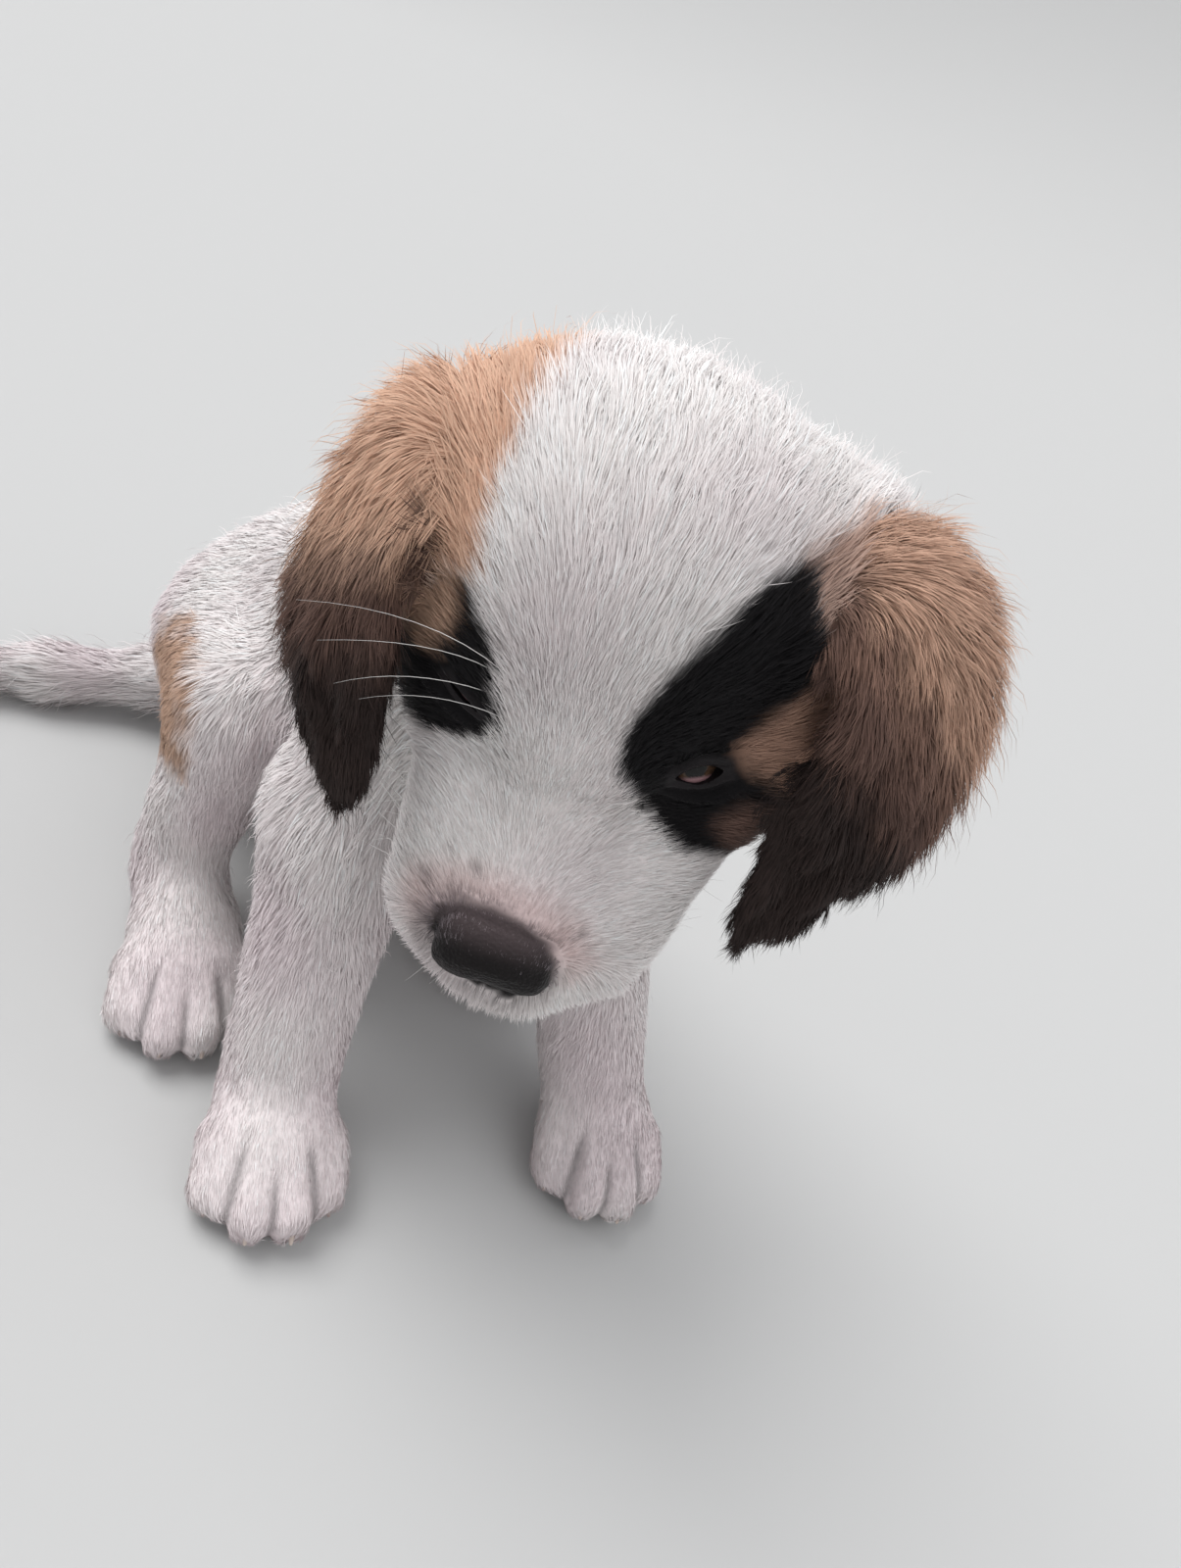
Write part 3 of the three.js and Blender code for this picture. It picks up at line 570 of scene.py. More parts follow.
def insideBy(points, outline):
    corners = np.array(outline, float)
    best = np.full(len(points), 1e9)
    inside = np.zeros(len(points), bool)
    for a, b in zip(corners, np.roll(corners, -1, 0)):
        ab = b - a
        t = np.clip(((points - a) @ ab) / (ab @ ab), 0, 1)
        best = np.minimum(best, np.linalg.norm(points - a - t[:, None] * ab, axis=1))
        crosses = (a[1] > points[:, 1]) != (b[1] > points[:, 1])
        at = a[0] + (points[:, 1] - a[1]) * ab[0] / (ab[1] if ab[1] else 1e-9)
        inside ^= crosses & (points[:, 0] < at)
    return np.where(inside, best, -best)


waves = unit(np.random.default_rng(3).normal(size=(32, 3)))
phases = np.random.default_rng(4).uniform(0, 6.28, 32)


def ripple(points, size, pick=0):
    some = slice(pick, pick + 8)
    return np.sin(points @ waves[some].T * (2 * math.pi / size) + phases[some]).sum(1) / 4


def leather(h):
    # 1 on the bare nose, and the steps past its edge over the muzzle
    edge = insideBy(h[:, :2], outlines["leather"])
    floorAt = -26.5 + 8 * smoothStep(np.abs(h[:, 0] + 4), 8, 17)
    return smoothStep(edge, -1.3, 1.3) * smoothStep(h[:, 2], floorAt - 1, floorAt + 1), -edge


def layOn(colours, name, amount):
    amount = np.clip(amount, 0, 1)[:, None]
    colours[:] = colours * (1 - amount) + np.array(markLook[name]) * amount


def markings(points, ear):
    h = toHead(points)
    w = toBody(points)
    wobble = np.stack([ripple(points, 0.012), ripple(points, 0.012, 8)], 1)
    flat = h[:, :2] + 0.8 * wobble
    colour = np.tile(markLook["white"], (len(points), 1))

    def paint(name, amount):
        layOn(colour, name, amount)

    near = (np.abs(h) < 115).all(1)
    broad = ripple(points, 0.05, 16)
    # painted shade: the lower legs and paws turn lilac-grey towards the floor
    paint("lilac", (0.34 + 0.2 * broad) * smoothStep(-w[:, 2], -150, -80))
    # a faint lilac tint all over, partly pink skin showing through the white coat and partly painted shade
    paint("lilac", 0.10 + 0.15 * broad)
    onTop = smoothStep(h[:, 2], -27, -14) * near * ~ear
    for name, shade, soft, strength in patches:
        paint(shade, smoothStep(insideBy(flat, outlines[name]), -soft, soft) * onTop * strength)
    # ears: golden and tan at the root, brown, then nearly black at the tip and along the front edge; the
    # gold is partly the hair's own colour and partly painted highlight where light falls on the top of the
    # ear
    left = ear * (h[:, 0] > 0)
    right = ear * (h[:, 0] < 0)
    y = h[:, 1] + 2.5 * wobble[:, 0] + 0.25 * np.abs(h[:, 0] + 50)
    paint("gold", right)
    paint("brown", right * smoothStep(-y, -44, -18))
    paint("deep", right * smoothStep(-y, -20, 2) * 0.9)
    rise = 0.8 * (h[:, 1] - 18) + 0.55 * (h[:, 0] - 54) + 2.5 * wobble[:, 0]
    paint("tan", left)
    # partly painted highlight: the left ear turns lighter and golden towards its top
    paint("gold", 0.45 * left * smoothStep(rise, 2, 24))
    paint("fawn", left * smoothStep(-rise, -26, -19))
    paint("brown", left * smoothStep(-rise, -20, -9))
    paint("deep", left * smoothStep(-rise, -9, 3) * 0.92)
    front = np.abs(h[:, 0]) - 46 - 0.1 * np.abs(h[:, 1] - 15)
    paint("deep", (0.8 * left + 0.35 * right) * smoothStep(-front, -3, 5) * smoothStep(-h[:, 1], -38, -22))
    # grey and pink skin above the nose, and faint freckles on the muzzle
    bridge = smoothStep(-h[:, 1], 22, 34) * smoothStep(h[:, 2], -34, -16) * near * ~ear
    around = np.flatnonzero(near & ~ear & (h[:, 1] < -25) & (h[:, 2] > -34))
    bare, past = np.zeros(len(points)), np.full(len(points), 99.0)
    bare[around], past[around] = leather(h[around])
    paint("pink", (1 - smoothStep(past, 2, 13)) * bridge * 0.5 * smoothStep(h[:, 1], -62, -50))
    fade = past + 1.6 * wobble[:, 1] + 0.06 * h[:, 0]
    paint("grey", (1 - smoothStep(fade, -1, 3)) * bridge * 0.55)
    # the leather is grey-purple at its top and nearly black towards its front
    dim = smoothStep(-h[:, 1], 47, 58)[:, None]
    tone = np.array(noseLook["grey-purple top"]) * (1 - dim) + np.array(noseLook["dark"]) * dim
    colour[:] = colour * (1 - 0.985 * bare)[:, None] + tone * 0.985 * bare[:, None]
    for x, yAt, size in freckles:
        paint("grey", bell(np.hypot(h[:, 0] - x, h[:, 1] - yAt), 0, size) * bridge * 0.5)
    rust = 0
    for i, (middle, size, start, end, strength) in enumerate(bodyPatches):
        out = np.linalg.norm((w - middle) / size, axis=1) + 0.12 * wobble[:, i]
        rust = rust + (1 - smoothStep(out, start, end)) * strength
    paint("rust", rust)
    # painted shade: the grooves between the toes are darkened
    return colour * (1 - 0.45 * toeGroove(points) ** 2)[:, None]


co = pointsOf(skin)
normals = normalsOf(skin)
owner = ownersOf(co)
part = partNames[owner]
isEar = part == "ear"
skinColour = markings(co, isEar)
# painted shade at the bottom of the coat: the skin is darker than the hair above it, least under pale hair
pale = smoothStep(skinColour.mean(1), 0.2, 0.6)[:, None]
skinColour = skinColour * (0.6 + 0.36 * pale * np.array([1, 0.95, 0.96]))
lidEdge = 1 - smoothStep(lidDistance(co), 1.0, 3.4)
layOn(skinColour, "rim", lidEdge)
lip = mouthLine(co, part, mouthLook["rim"], mouthLook["rim fade"])
layOn(skinColour, "rim", lip)
layOn(skinColour, "sole", (normals[:, 2] < -0.6) * (co[:, 2] < 0.006) * 1.0)
paintVertices(skin, "mark", skinColour)
headNow = toHead(co)
noseBare = np.where(np.isin(part, ["head", "nose", "jaw"]), leather(headNow)[0], 0)
noseBare = noseBare * smoothStep(-headNow[:, 1], 40, 46)
bare = np.maximum(np.maximum(lidEdge, lip), 0.8 * noseBare)
paintVertices(skin, "bare", np.repeat(bare[:, None], 3, 1))


def linked(material, outSocket, inSocket):
    material.node_tree.links.new(outSocket, inSocket)


def coatMaterial(name, roughness, sheen=0.0, bumpScale=0, bumpDepth=0.0, gloss=None):
    m = bpy.data.materials.new(name)
    m.use_nodes = True
    n = m.node_tree.nodes
    shader = n["Principled BSDF"]
    mark = n.new("ShaderNodeAttribute")
    mark.attribute_name = "mark"
    linked(m, mark.outputs["Color"], shader.inputs["Base Color"])
    shader.inputs["Roughness"].default_value = roughness
    shader.inputs["Sheen Weight"].default_value = sheen
    shader.inputs["Sheen Roughness"].default_value = 0.6
    shader.inputs["Specular IOR Level"].default_value = 0.14
    if bumpScale:
        place = n.new("ShaderNodeTexCoord")
        noise = n.new("ShaderNodeTexNoise")
        noise.inputs["Scale"].default_value = bumpScale
        noise.inputs["Detail"].default_value = 4
        bump = n.new("ShaderNodeBump")
        bump.inputs["Strength"].default_value = 0.6
        bump.inputs["Distance"].default_value = bumpDepth
        linked(m, place.outputs["Object"], noise.inputs["Vector"])
        linked(m, noise.outputs["Fac"], bump.inputs["Height"])
        linked(m, bump.outputs["Normal"], shader.inputs["Normal"])
    if gloss is not None:  # bare lids and lips are smoother
        where = n.new("ShaderNodeAttribute")
        where.attribute_name = "bare"
        fit = n.new("ShaderNodeMapRange")
        fit.inputs["To Min"].default_value = roughness
        fit.inputs["To Max"].default_value = gloss
        linked(m, where.outputs["Fac"], fit.inputs["Value"])
        linked(m, fit.outputs["Result"], shader.inputs["Roughness"])
    return m


paintVertices(skin, "leather", np.repeat(noseBare[:, None], 3, 1))
m = coatMaterial("skin under the coat", 0.75, 0.0, 900, 0.0003, 0.36)
n = m.node_tree.nodes
pebbles = n.new("ShaderNodeTexVoronoi")
pebbles.inputs["Scale"].default_value = 900
pebbleBump = n.new("ShaderNodeBump")
pebbleBump.inputs["Distance"].default_value = 0.00035
onNose = n.new("ShaderNodeAttribute")
onNose.attribute_name = "leather"
linked(m, n["Texture Coordinate"].outputs["Object"], pebbles.inputs["Vector"])
linked(m, pebbles.outputs["Distance"], pebbleBump.inputs["Height"])
linked(m, onNose.outputs["Fac"], pebbleBump.inputs["Strength"])
linked(m, n["Bump"].outputs["Normal"], pebbleBump.inputs["Normal"])
linked(m, pebbleBump.outputs["Normal"], n["Principled BSDF"].inputs["Normal"])
skin.data.materials.append(m)
hairMaterial = coatMaterial("hair", 0.62, 0.03)
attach(skin, "root")
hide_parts(*fleshNames)
print("skin finished")

# Coat: each entry is a place on the body, the way the hair lies there, how far that holds,
# the hair's length in mm and its lift in degrees; places and ways on the head are left, back
# and up from between the eyes, those on the body left, back and up from the floor
coatOnHead = [
    ((-3, -46, -4), (0, 1, 0.1), 11, 2.6, 10), ((0, -20, 8), (0.1, 1, 0.1), 14, 4.4, 11),
    ((22, -30, -8), (0.8, 0.6, -0.15), 14, 4.2, 11),
    ((-22, -30, -8), (-0.5, 0.85, -0.1), 14, 4.2, 11),
    ((36, -25, -28), (0.5, 0.7, -0.45), 16, 5.5, 13),
    ((-34, -30, -28), (-0.3, 0.8, -0.5), 16, 5.5, 13),
    ((26, -45, -48), (0.3, 0.3, -0.9), 14, 6.5, 18),
    ((-22, -45, -48), (-0.3, 0.3, -0.9), 14, 6.5, 18),
    ((-3, -70, -38), (0, -0.8, -0.6), 10, 5.6, 24),
    ((-22, -58, -34), (-0.5, -0.5, -0.7), 9, 4.6, 18),
    ((16, -58, -34), (0.5, -0.5, -0.7), 9, 4.6, 18), ((0, -50, -57), (0, 0.5, -0.8), 14, 6, 18),
    ((0, -2, 14), (0, 1, 0.25), 14, 5.5, 12), ((0, 20, 28), (0, 1, 0.3), 18, 7, 12),
    ((27, -4, 2), (0.5, 0.5, -0.1), 9, 3.0, 9), ((-27, -4, 2), (-0.5, 0.5, -0.1), 9, 3.0, 9),
    ((26, 12, 16), (0.75, 0.65, -0.1), 12, 5.5, 13),
    ((-26, 12, 16), (-0.75, 0.65, -0.1), 12, 6.5, 20), ((45, 8, 4), (0.75, 0.6, -0.4), 14, 6.5, 14),
    ((-42, 8, 4), (-0.7, 0.6, -0.4), 14, 7, 16), ((32, 35, 28), (0.6, 0.8, 0), 18, 8, 13),
    ((-32, 35, 28), (-0.6, 0.8, 0), 18, 9, 16), ((0, 55, 38), (0, 1, -0.1), 24, 10, 13),
    ((0, 84, 10), (0, 0.7, -0.7), 24, 14, 20), ((44, 70, 5), (0.35, 0.7, -0.55), 22, 16, 24),
    ((-38, 68, 5), (-0.35, 0.7, -0.55), 22, 16, 26), ((50, 10, -25), (0.2, 0.5, -0.8), 20, 8, 15),
    ((-48, 10, -25), (-0.2, 0.5, -0.8), 20, 8, 15), ((0, 20, -60), (0, 0.7, -0.7), 24, 12, 18),
    ((-56, 62, 8), (-0.6, 0.5, 0.2), 16, 16, 28),
]
coatOnEar = [
    ((45, 66, 6), (0.45, 0.15, 0.1), 14, 12, 24), ((70, 62, 6), (0.85, -0.15, -0.1), 16, 14, 25),
    ((88, 36, 0), (0.45, -0.8, -0.25), 16, 14, 23), ((56, 36, 14), (0.25, -0.95, 0), 14, 9.5, 14),
    ((70, 25, 10), (0.35, -0.9, -0.2), 16, 12, 16), ((85, 5, -2), (0.05, -0.95, -0.3), 16, 13, 19),
    ((50, 0, 6), (-0.15, -1, -0.35), 12, 8, 8), ((66, -18, -4), (-0.12, -0.95, -0.35), 14, 7.5, 12),
    ((52, -32, -7), (-0.05, -0.95, -0.3), 12, 9, 9), ((47, 20, 12), (-0.15, -0.95, -0.2), 9, 7, 9),
    ((51, 12, 8), (-0.75, -0.65, -0.35), 7, 8, 7),
]
# hair of the left ear that closes the slit between ear and cheek
tuckLook = {"at": (52, 24, 17), "way": (-0.85, -0.45, -0.35), "reach": 8, "longer": 0.6}
coatOnBody = [
    ((8, 285, 215), (0, 0.8, -0.5), 34, 14, 18), ((56, 240, 195), (0.1, 0.45, -0.9), 34, 14, 20),
    ((-48, 230, 200), (-0.1, 0.45, -0.9), 34, 14, 20), ((5, 205, 160), (0, 0, -1), 34, 14, 18),
    ((5, 212, 110), (0, 0.3, -1), 34, 12, 16), ((55, 258, 140), (0, 0.2, -1), 34, 12, 14),
    ((-52, 258, 140), (0, 0.2, -1), 34, 12, 14), ((4, 330, 180), (0, 0.85, -0.5), 40, 13, 14),
    ((0, 375, 140), (0, 0.6, -0.8), 40, 13, 14), ((0, 410, 80), (0, 0.2, -1), 36, 12, 16),
    ((54, 315, 115), (0, 0.5, -0.85), 34, 11, 13), ((-54, 315, 115), (0, 0.5, -0.85), 34, 8.5, 11),
    ((0, 280, 80), (0, 0.5, -0.8), 34, 8, 12), ((70, 350, 80), (0, 0.1, -1), 36, 10, 13),
    ((-70, 350, 80), (0, 0.1, -1), 36, 9, 12), ((58, 288, 100), (0, -0.15, -1), 26, 8, 12),
    ((-54, 288, 100), (0, -0.15, -1), 26, 7.5, 11), ((60, 305, 40), (0, -0.35, -0.95), 22, 8, 15),
    ((-58, 305, 40), (0, -0.35, -0.95), 22, 8, 15),
    ((-58, 262, 20), (-0.2, -0.95, -0.3), 22, 4.8, 13),
    ((62, 268, 20), (0.12, -0.95, -0.3), 22, 4.8, 13), ((-34, 230, 95), (0, -0.05, -1), 26, 9, 14),
    ((56, 212, 95), (0.03, -0.1, -1), 26, 9, 14), ((-42, 208, 50), (0, -0.12, -1), 22, 6.4, 13),
    ((-44, 203, 32), (-0.05, -0.4, -0.9), 14, 5.0, 12),
    ((66, 182, 32), (0.1, -0.4, -0.9), 14, 5.0, 12), ((62, 190, 50), (0.02, -0.15, -1), 22, 7, 13),
    ((-49, 186, 16), (-0.25, -0.93, -0.3), 22, 4.6, 13),
    ((73, 160, 16), (-0.36, -0.9, -0.3), 22, 4.6, 13),
    ((-20, 408, 30), (-0.7, 0.6, -0.3), 22, 12, 16),
    ((-60, 430, 18), (-0.95, 0.25, -0.1), 26, 13, 17), ((-130, 440, 12), (-1, 0.08, 0), 34, 14, 15),
]


def gather(lines, toPart, wayPart):
    place = np.array([toPart(l[0]) for l in lines])
    way = unit(np.array([wayPart(l[1]) for l in lines]))
    return place, way, np.array([[l[2] * step, l[3] * 0.001, math.radians(l[4])] for l in lines])


def mirrored(lines):
    return lines + [((-x, y, z), (-u, v, w), r, l, a) for (x, y, z), (u, v, w), r, l, a in lines]


asHead = (fromHead, lambda d: np.array(d) @ headAxes)
asBody = (fromBody, lambda d: np.array(d, float))
earLines = gather(mirrored(coatOnEar), *asHead)
bodyLines = zip(gather(coatOnHead, *asHead), gather(coatOnBody, *asBody))
bodyLines = [np.concatenate(p) for p in bodyLines]
lidCoat = {"from": 1.0, "to": 6.5, "hair": 0.0016, "flatter": 0.6}


def lieOf(points, lines):
    place, way, rest = lines
    d2 = ((points ** 2).sum(1)[:, None] + (place ** 2).sum(1) - 2 * points @ place.T).clip(0)
    weight = np.exp(-d2 / rest[:, 0] ** 2) + 1e-9 / (d2 + 1e-6)
    weight /= weight.sum(1, keepdims=True)
    return weight @ way, weight @ rest[:, 1], weight @ rest[:, 2]


def coatAt(points, ear):
    way, length, lift = lieOf(points, bodyLines)
    wayE, lengthE, liftE = lieOf(points, earLines)
    way = unit(np.where(ear[:, None], wayE, way))
    length = np.where(ear, lengthE, length)
    lift = np.where(ear, liftE, lift)
    # round the lids the hair is very short and turns away from them
    for s in "lr":
        look, along, over = eyeAxes(s)
        u, v, w = eyePlace(points, s)
        wide, tall = eyeLook["open"][s]
        past = np.hypot(np.maximum(np.abs(u) - wide, 0), np.maximum(np.abs(v) - tall, 0))
        near = (1 - smoothStep(past, lidCoat["from"], lidCoat["to"])) * (w > -2) * ~ear
        away = unit(np.outer(0.35 * u, along) + np.outer(v, over)) @ headAxes
        way = unit(way * (1 - near)[:, None] + away * near[:, None])
        length = length * (1 - near) + lidCoat["hair"] * near
        lift = lift * (1 - lidCoat["flatter"] * near)
    return way, length * (1 - 0.35 * toeGroove(points)), lift


# each part of the coat: how many layers, a tuft's width at its root in mm and per mm of length,
# its bends, how much tufts gather, and the share of loose hairs
coatLook = {
    "face": (5.2, 0.17, 0.012, 1, 0.12, 0.0),
    "brow": (6.5, 0.16, 0.012, 1, 0.25, 0.02),
    "crown": (7.6, 0.18, 0.012, 2, 0.26, 0.06),
    "ear": (8.5, 0.21, 0.010, 2, 0.42, 0.12),
    "neck": (6.2, 0.26, 0.013, 2, 0.30, 0.07),
    "torso": (5.4, 0.32, 0.016, 1, 0.26, 0.04),
    "foreleg": (4.4, 0.27, 0.014, 1, 0.25, 0.03),
    "paw": (2.9, 0.26, 0.014, 1, 0.15, 0.0),
    "thigh": (4.4, 0.30, 0.015, 1, 0.28, 0.03),
    "hock": (3.4, 0.30, 0.014, 1, 0.25, 0.03),
    "tail": (6.5, 0.30, 0.012, 2, 0.25, 0.10),
}
layers, rootWidth, widthByLength, bendCount, gathering, looseShare = range(6)
# how a tuft of one or two bends lies: shares of its length, how much each lifts, widths up to the tip
bendLook = {
    1: {"shares": [0.5, 0.5], "turns": [1.35, 0.35], "widths": [1, 0.8]},
    2: {"shares": [0.36, 0.34, 0.30], "turns": [1.5, 0.75, 0.1], "widths": [1, 0.9, 0.62]},
}
tuftLook = {
    "patch": 0.003, "most triangles": 1470000, "lengths": (0.72, 1.18), "lifts": (0.5, 1.5),
    "loose longer": 1.25, "loose lifted": 1.7, "roll": 0.4, "rooted": 0.0004, "gather": 9,
    "pull": (0.5, 1.2), "reach": 0.45, "widths": (0.8, 1.25), "loose width": 0.5,
    "off the floor": 0.0004, "on the nose": (0.20, 0.175, 0.19), "palest": 0.86,
}
kinds = list(coatLook)


def kindOf(part, h):
    tests = {k: part == k for k in ("ear", "neck", "torso", "foreleg", "thigh", "hock", "tail")}
    tests["paw"] = (part == "forepaw") | (part == "hindpaw")
    tests["face"] = h[:, 1] < 2
    tests["brow"] = h[:, 1] < 30
    return np.select(list(tests.values()), [kinds.index(k) for k in tests], kinds.index("crown"))


table = np.array([coatLook[k] for k in kinds])
skin.data.calc_loop_triangles()
corners = readAll(skin.data.loop_triangles, "vertices", 3, int)
loops = readAll(skin.data.loop_triangles, "loops", 3, int)
flatMap = readAll(skin.data.uv_layers["OFBake"].data, "uv", 2)
a, b, c = (co[corners[:, i]] for i in range(3))
area = np.linalg.norm(np.cross(b - a, c - a), axis=1) / 2
middle = (a + b + c) / 3
faceKind = kindOf(part[corners[:, 0]], toHead(middle))
_, length, _ = coatAt(middle, isEar[corners[:, 0]])
width = (table[faceKind, rootWidth] + table[faceKind, widthByLength] * length * 1000) * 0.001
wanted = area * table[faceKind, layers] / (length * width * 0.6)
wanted[(middle[:, 2] < 0.003) & (normals[corners[:, 0], 2] < -0.6)] = 0
cost = (wanted * (1 + 2 * table[faceKind, bendCount])).sum()
scale = min(1, tuftLook["most triangles"] / cost)
total = int(wanted.sum() * scale)
print("coat", total, "tufts, share of the wish", round(scale, 2))
chosen = draw.choice(len(wanted), total, p=wanted / wanted.sum())
u = draw.uniform(size=(total, 2))
flip = u.sum(1) > 1
u[flip] = 1 - u[flip]
share = np.stack([1 - u.sum(1), u[:, 0], u[:, 1]], 1)
tri = corners[chosen]
root = (co[tri] * share[:, :, None]).sum(1)
up = unit((normals[tri] * share[:, :, None]).sum(1))
spot = (flatMap[loops[chosen]] * share[:, :, None]).sum(1)
rootEar = isEar[tri[:, 0]]
kind = faceKind[chosen]
way, length, lift = coatAt(root, rootEar)
tuck = bell(np.linalg.norm(toHead(root) - tuckLook["at"], axis=1), 0, tuckLook["reach"]) * rootEar
way = way * (1 - tuck)[:, None] + unit(np.array(tuckLook["way"])) @ headAxes * tuck[:, None]
length = length * (1 + tuckLook["longer"] * tuck)
loose = draw.uniform(size=total) < table[kind, looseShare]
length = length * draw.uniform(*tuftLook["lengths"], total) * np.where(loose, tuftLook["loose longer"], 1)
lift = lift * draw.uniform(*tuftLook["lifts"], total) * np.where(loose, tuftLook["loose lifted"], 1)
stray = np.stack([ripple(root, 0.016, k) for k in (0, 8, 16)], 1)
fine = np.stack([ripple(root, 0.005, k) for k in (8, 16, 0)], 1)
longer = smoothStep(length, 0.004, 0.014)[:, None]
way = way + (0.08 + 0.14 * longer) * stray + (0.08 + 0.10 * longer) * fine
way = way + draw.normal(size=(total, 3)) * np.where(loose, 0.25, 0.09)[:, None]
way = unit(way - up * (way * up).sum(1, keepdims=True))

# no hair on the rims of the lids, the lips and the nose leather
clear = lidDistance(root) > 1.0
clear &= lip[tri[:, 0]] < 0.6
onLeather = noseBare[tri[:, 0]]
noseFront = smoothStep(-toHead(root)[:, 1], 52, 60)
clear &= draw.uniform(size=total) > onLeather * (0.25 + 0.75 * noseFront)
length = length * (1 - 0.45 * onLeather)
print("coat laid out")


def makeCoat(name, pick):
    pick = np.flatnonzero(pick & clear)
    n = len(pick)
    bends = int(table[kind[pick[0]], bendCount])
    bend = bendLook[bends]
    p, nrm, w, l, a = root[pick], up[pick], way[pick], length[pick], lift[pick]
    roll = draw.normal(size=n) * tuftLook["roll"]
    side = np.cross(nrm, w)
    flatSide = unit(side * np.cos(roll)[:, None] + nrm * np.sin(roll)[:, None])
    stations = [p - nrm * tuftLook["rooted"]]
    for s, t in zip(bend["shares"], bend["turns"]):
        ahead = w * np.cos(a * t)[:, None] + nrm * np.sin(a * t)[:, None]
        stations.append(stations[-1] + ahead * (l * s)[:, None])
    # tufts gather towards the tip of a neighbour
    centres = np.arange(0, n, tuftLook["gather"])
    tree = KDTree(len(centres))
    for k, i in enumerate(centres):
        tree.insert(p[i], k)
    tree.balance()
    mate = centres[np.array([tree.find(q)[1] for q in p])]
    pull = table[kind[pick], gathering] * draw.uniform(*tuftLook["pull"], n) * ~loose[pick]
    drift = (stations[-1][mate] - stations[-1] + (p - p[mate]) * 0.15) * pull[:, None]
    reach = np.minimum(1, tuftLook["reach"] * l / np.maximum(np.linalg.norm(drift, axis=1), 1e-9))
    drift *= reach[:, None]
    for k in range(1, bends + 2):
        stations[k] = stations[k] + drift * (k / (bends + 1)) ** 1.6
    half = (table[kind[pick], rootWidth] + table[kind[pick], widthByLength] * l * 1000) * 0.0005
    half = half * draw.uniform(*tuftLook["widths"], n) * np.where(loose[pick], tuftLook["loose width"], 1)
    wide = flatSide * half[:, None]
    points = []
    for k, size in enumerate(bend["widths"]):
        points += [stations[k] - wide * size, stations[k] + wide * size]
    points = np.stack(points + [stations[-1]], 1)
    points[:, :, 2] = np.maximum(points[:, :, 2], tuftLook["off the floor"])
    each = points.shape[1]
    faces = []
    for k in range(bends):
        faces += [[2 * k, 2 * k + 3, 2 * k + 1], [2 * k, 2 * k + 2, 2 * k + 3]]
    faces.append([2 * bends, 2 * bends + 2, 2 * bends + 1])
    index = (np.array(faces)[None] + each * np.arange(n)[:, None, None]).reshape(-1)
    mesh = bpy.data.meshes.new(name)
    mesh.vertices.add(each * n)
    mesh.vertices.foreach_set("co", points.ravel())
    mesh.loops.add(len(index))
    mesh.loops.foreach_set("vertex_index", index)
    mesh.polygons.add(len(index) // 3)
    mesh.polygons.foreach_set("loop_start", np.arange(0, len(index), 3))
    mesh.update(calc_edges=True)
    shade = markings(p, rootEar[pick])
    shade += np.array(tuftLook["on the nose"]) * onLeather[pick, None] * draw.uniform(0.2, 1, n)[:, None]
    light = smoothStep(shade.mean(1), 0.05, 0.55)
    shade = shade * (1 + (0.085 + 0.04 * (1 - light)) * draw.normal(size=n))[:, None]
    # painted shade between the hairs: each tuft is darker at its root, less so for pale hair, and a little
    # lighter at the tip on dark hair
    t = np.array([k for k in range(bends + 1) for _ in (0, 1)] + [bends + 1]) / (bends + 1)
    along = (0.62 + 0.34 * light)[:, None] * (1 - t) + (1.02 + 0.10 * (1 - light))[:, None] * t
    colours = np.clip(shade[:, None, :] * along[:, :, None], 0, tuftLook["palest"]).reshape(-1, 3)
    obj = bpy.data.objects.new(name, mesh)
    bpy.context.scene.collection.objects.link(obj)
    paintVertices(obj, "mark", colours)
    patch = np.zeros((each, 2))
    patch[:-1, 0] = np.tile([-0.5, 0.5], bends + 1)
    patch[:, 1] = t - 0.5
    uv = (spot[pick][:, None, :] + patch[None] * tuftLook["patch"]).reshape(-1, 2)[index]
    mesh.uv_layers.new(name="OFBake").data.foreach_set("uv", np.clip(uv, 0, 1).ravel())
    mesh.polygons.foreach_set("use_smooth", np.ones(len(index) // 3, bool))
    # tufts shade with the body under them
    ribbon = np.cross(stations[-1] - stations[0], flatSide)
    soft = unit(nrm * 0.75 + unit(ribbon) * 0.25 * np.sign((ribbon * nrm).sum(1, keepdims=True)))
    mesh.normals_split_custom_set_from_vertices(np.repeat(soft, each, 0))
    mesh.materials.append(hairMaterial)
    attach(obj, "root")
    print(name, len(index) // 3)


h = toHead(root)
headSide = np.where(h[:, 0] > 0, "l", "r")
bodySide = np.where(toBody(root)[:, 0] > 0, "l", "r")
halfBack = toBody(root)[:, 1] > 300
fore = np.char.startswith(part[tri[:, 0]].astype(str), "fore")
for s in "lr":
    for k in ("face", "brow", "crown", "ear"):
        makeCoat("coat_" + k + "_" + s, (kind == kinds.index(k)) & (headSide == s))
    torso = (kind == kinds.index("torso")) & (bodySide == s)
    makeCoat("coat_neck_" + s, (kind == kinds.index("neck")) & (bodySide == s))
    makeCoat("coat_chest_" + s, torso & ~halfBack)
    makeCoat("coat_back_" + s, torso & halfBack)
    for k in ("foreleg", "thigh", "hock"):
        makeCoat("coat_" + k + "_" + s, (kind == kinds.index(k)) & (bodySide == s))
    paw = (kind == kinds.index("paw")) & (bodySide == s)
    makeCoat("coat_forepaw_" + s, paw & fore)
    makeCoat("coat_hindpaw_" + s, paw & ~fore)
makeCoat("coat_tail", kind == kinds.index("tail"))

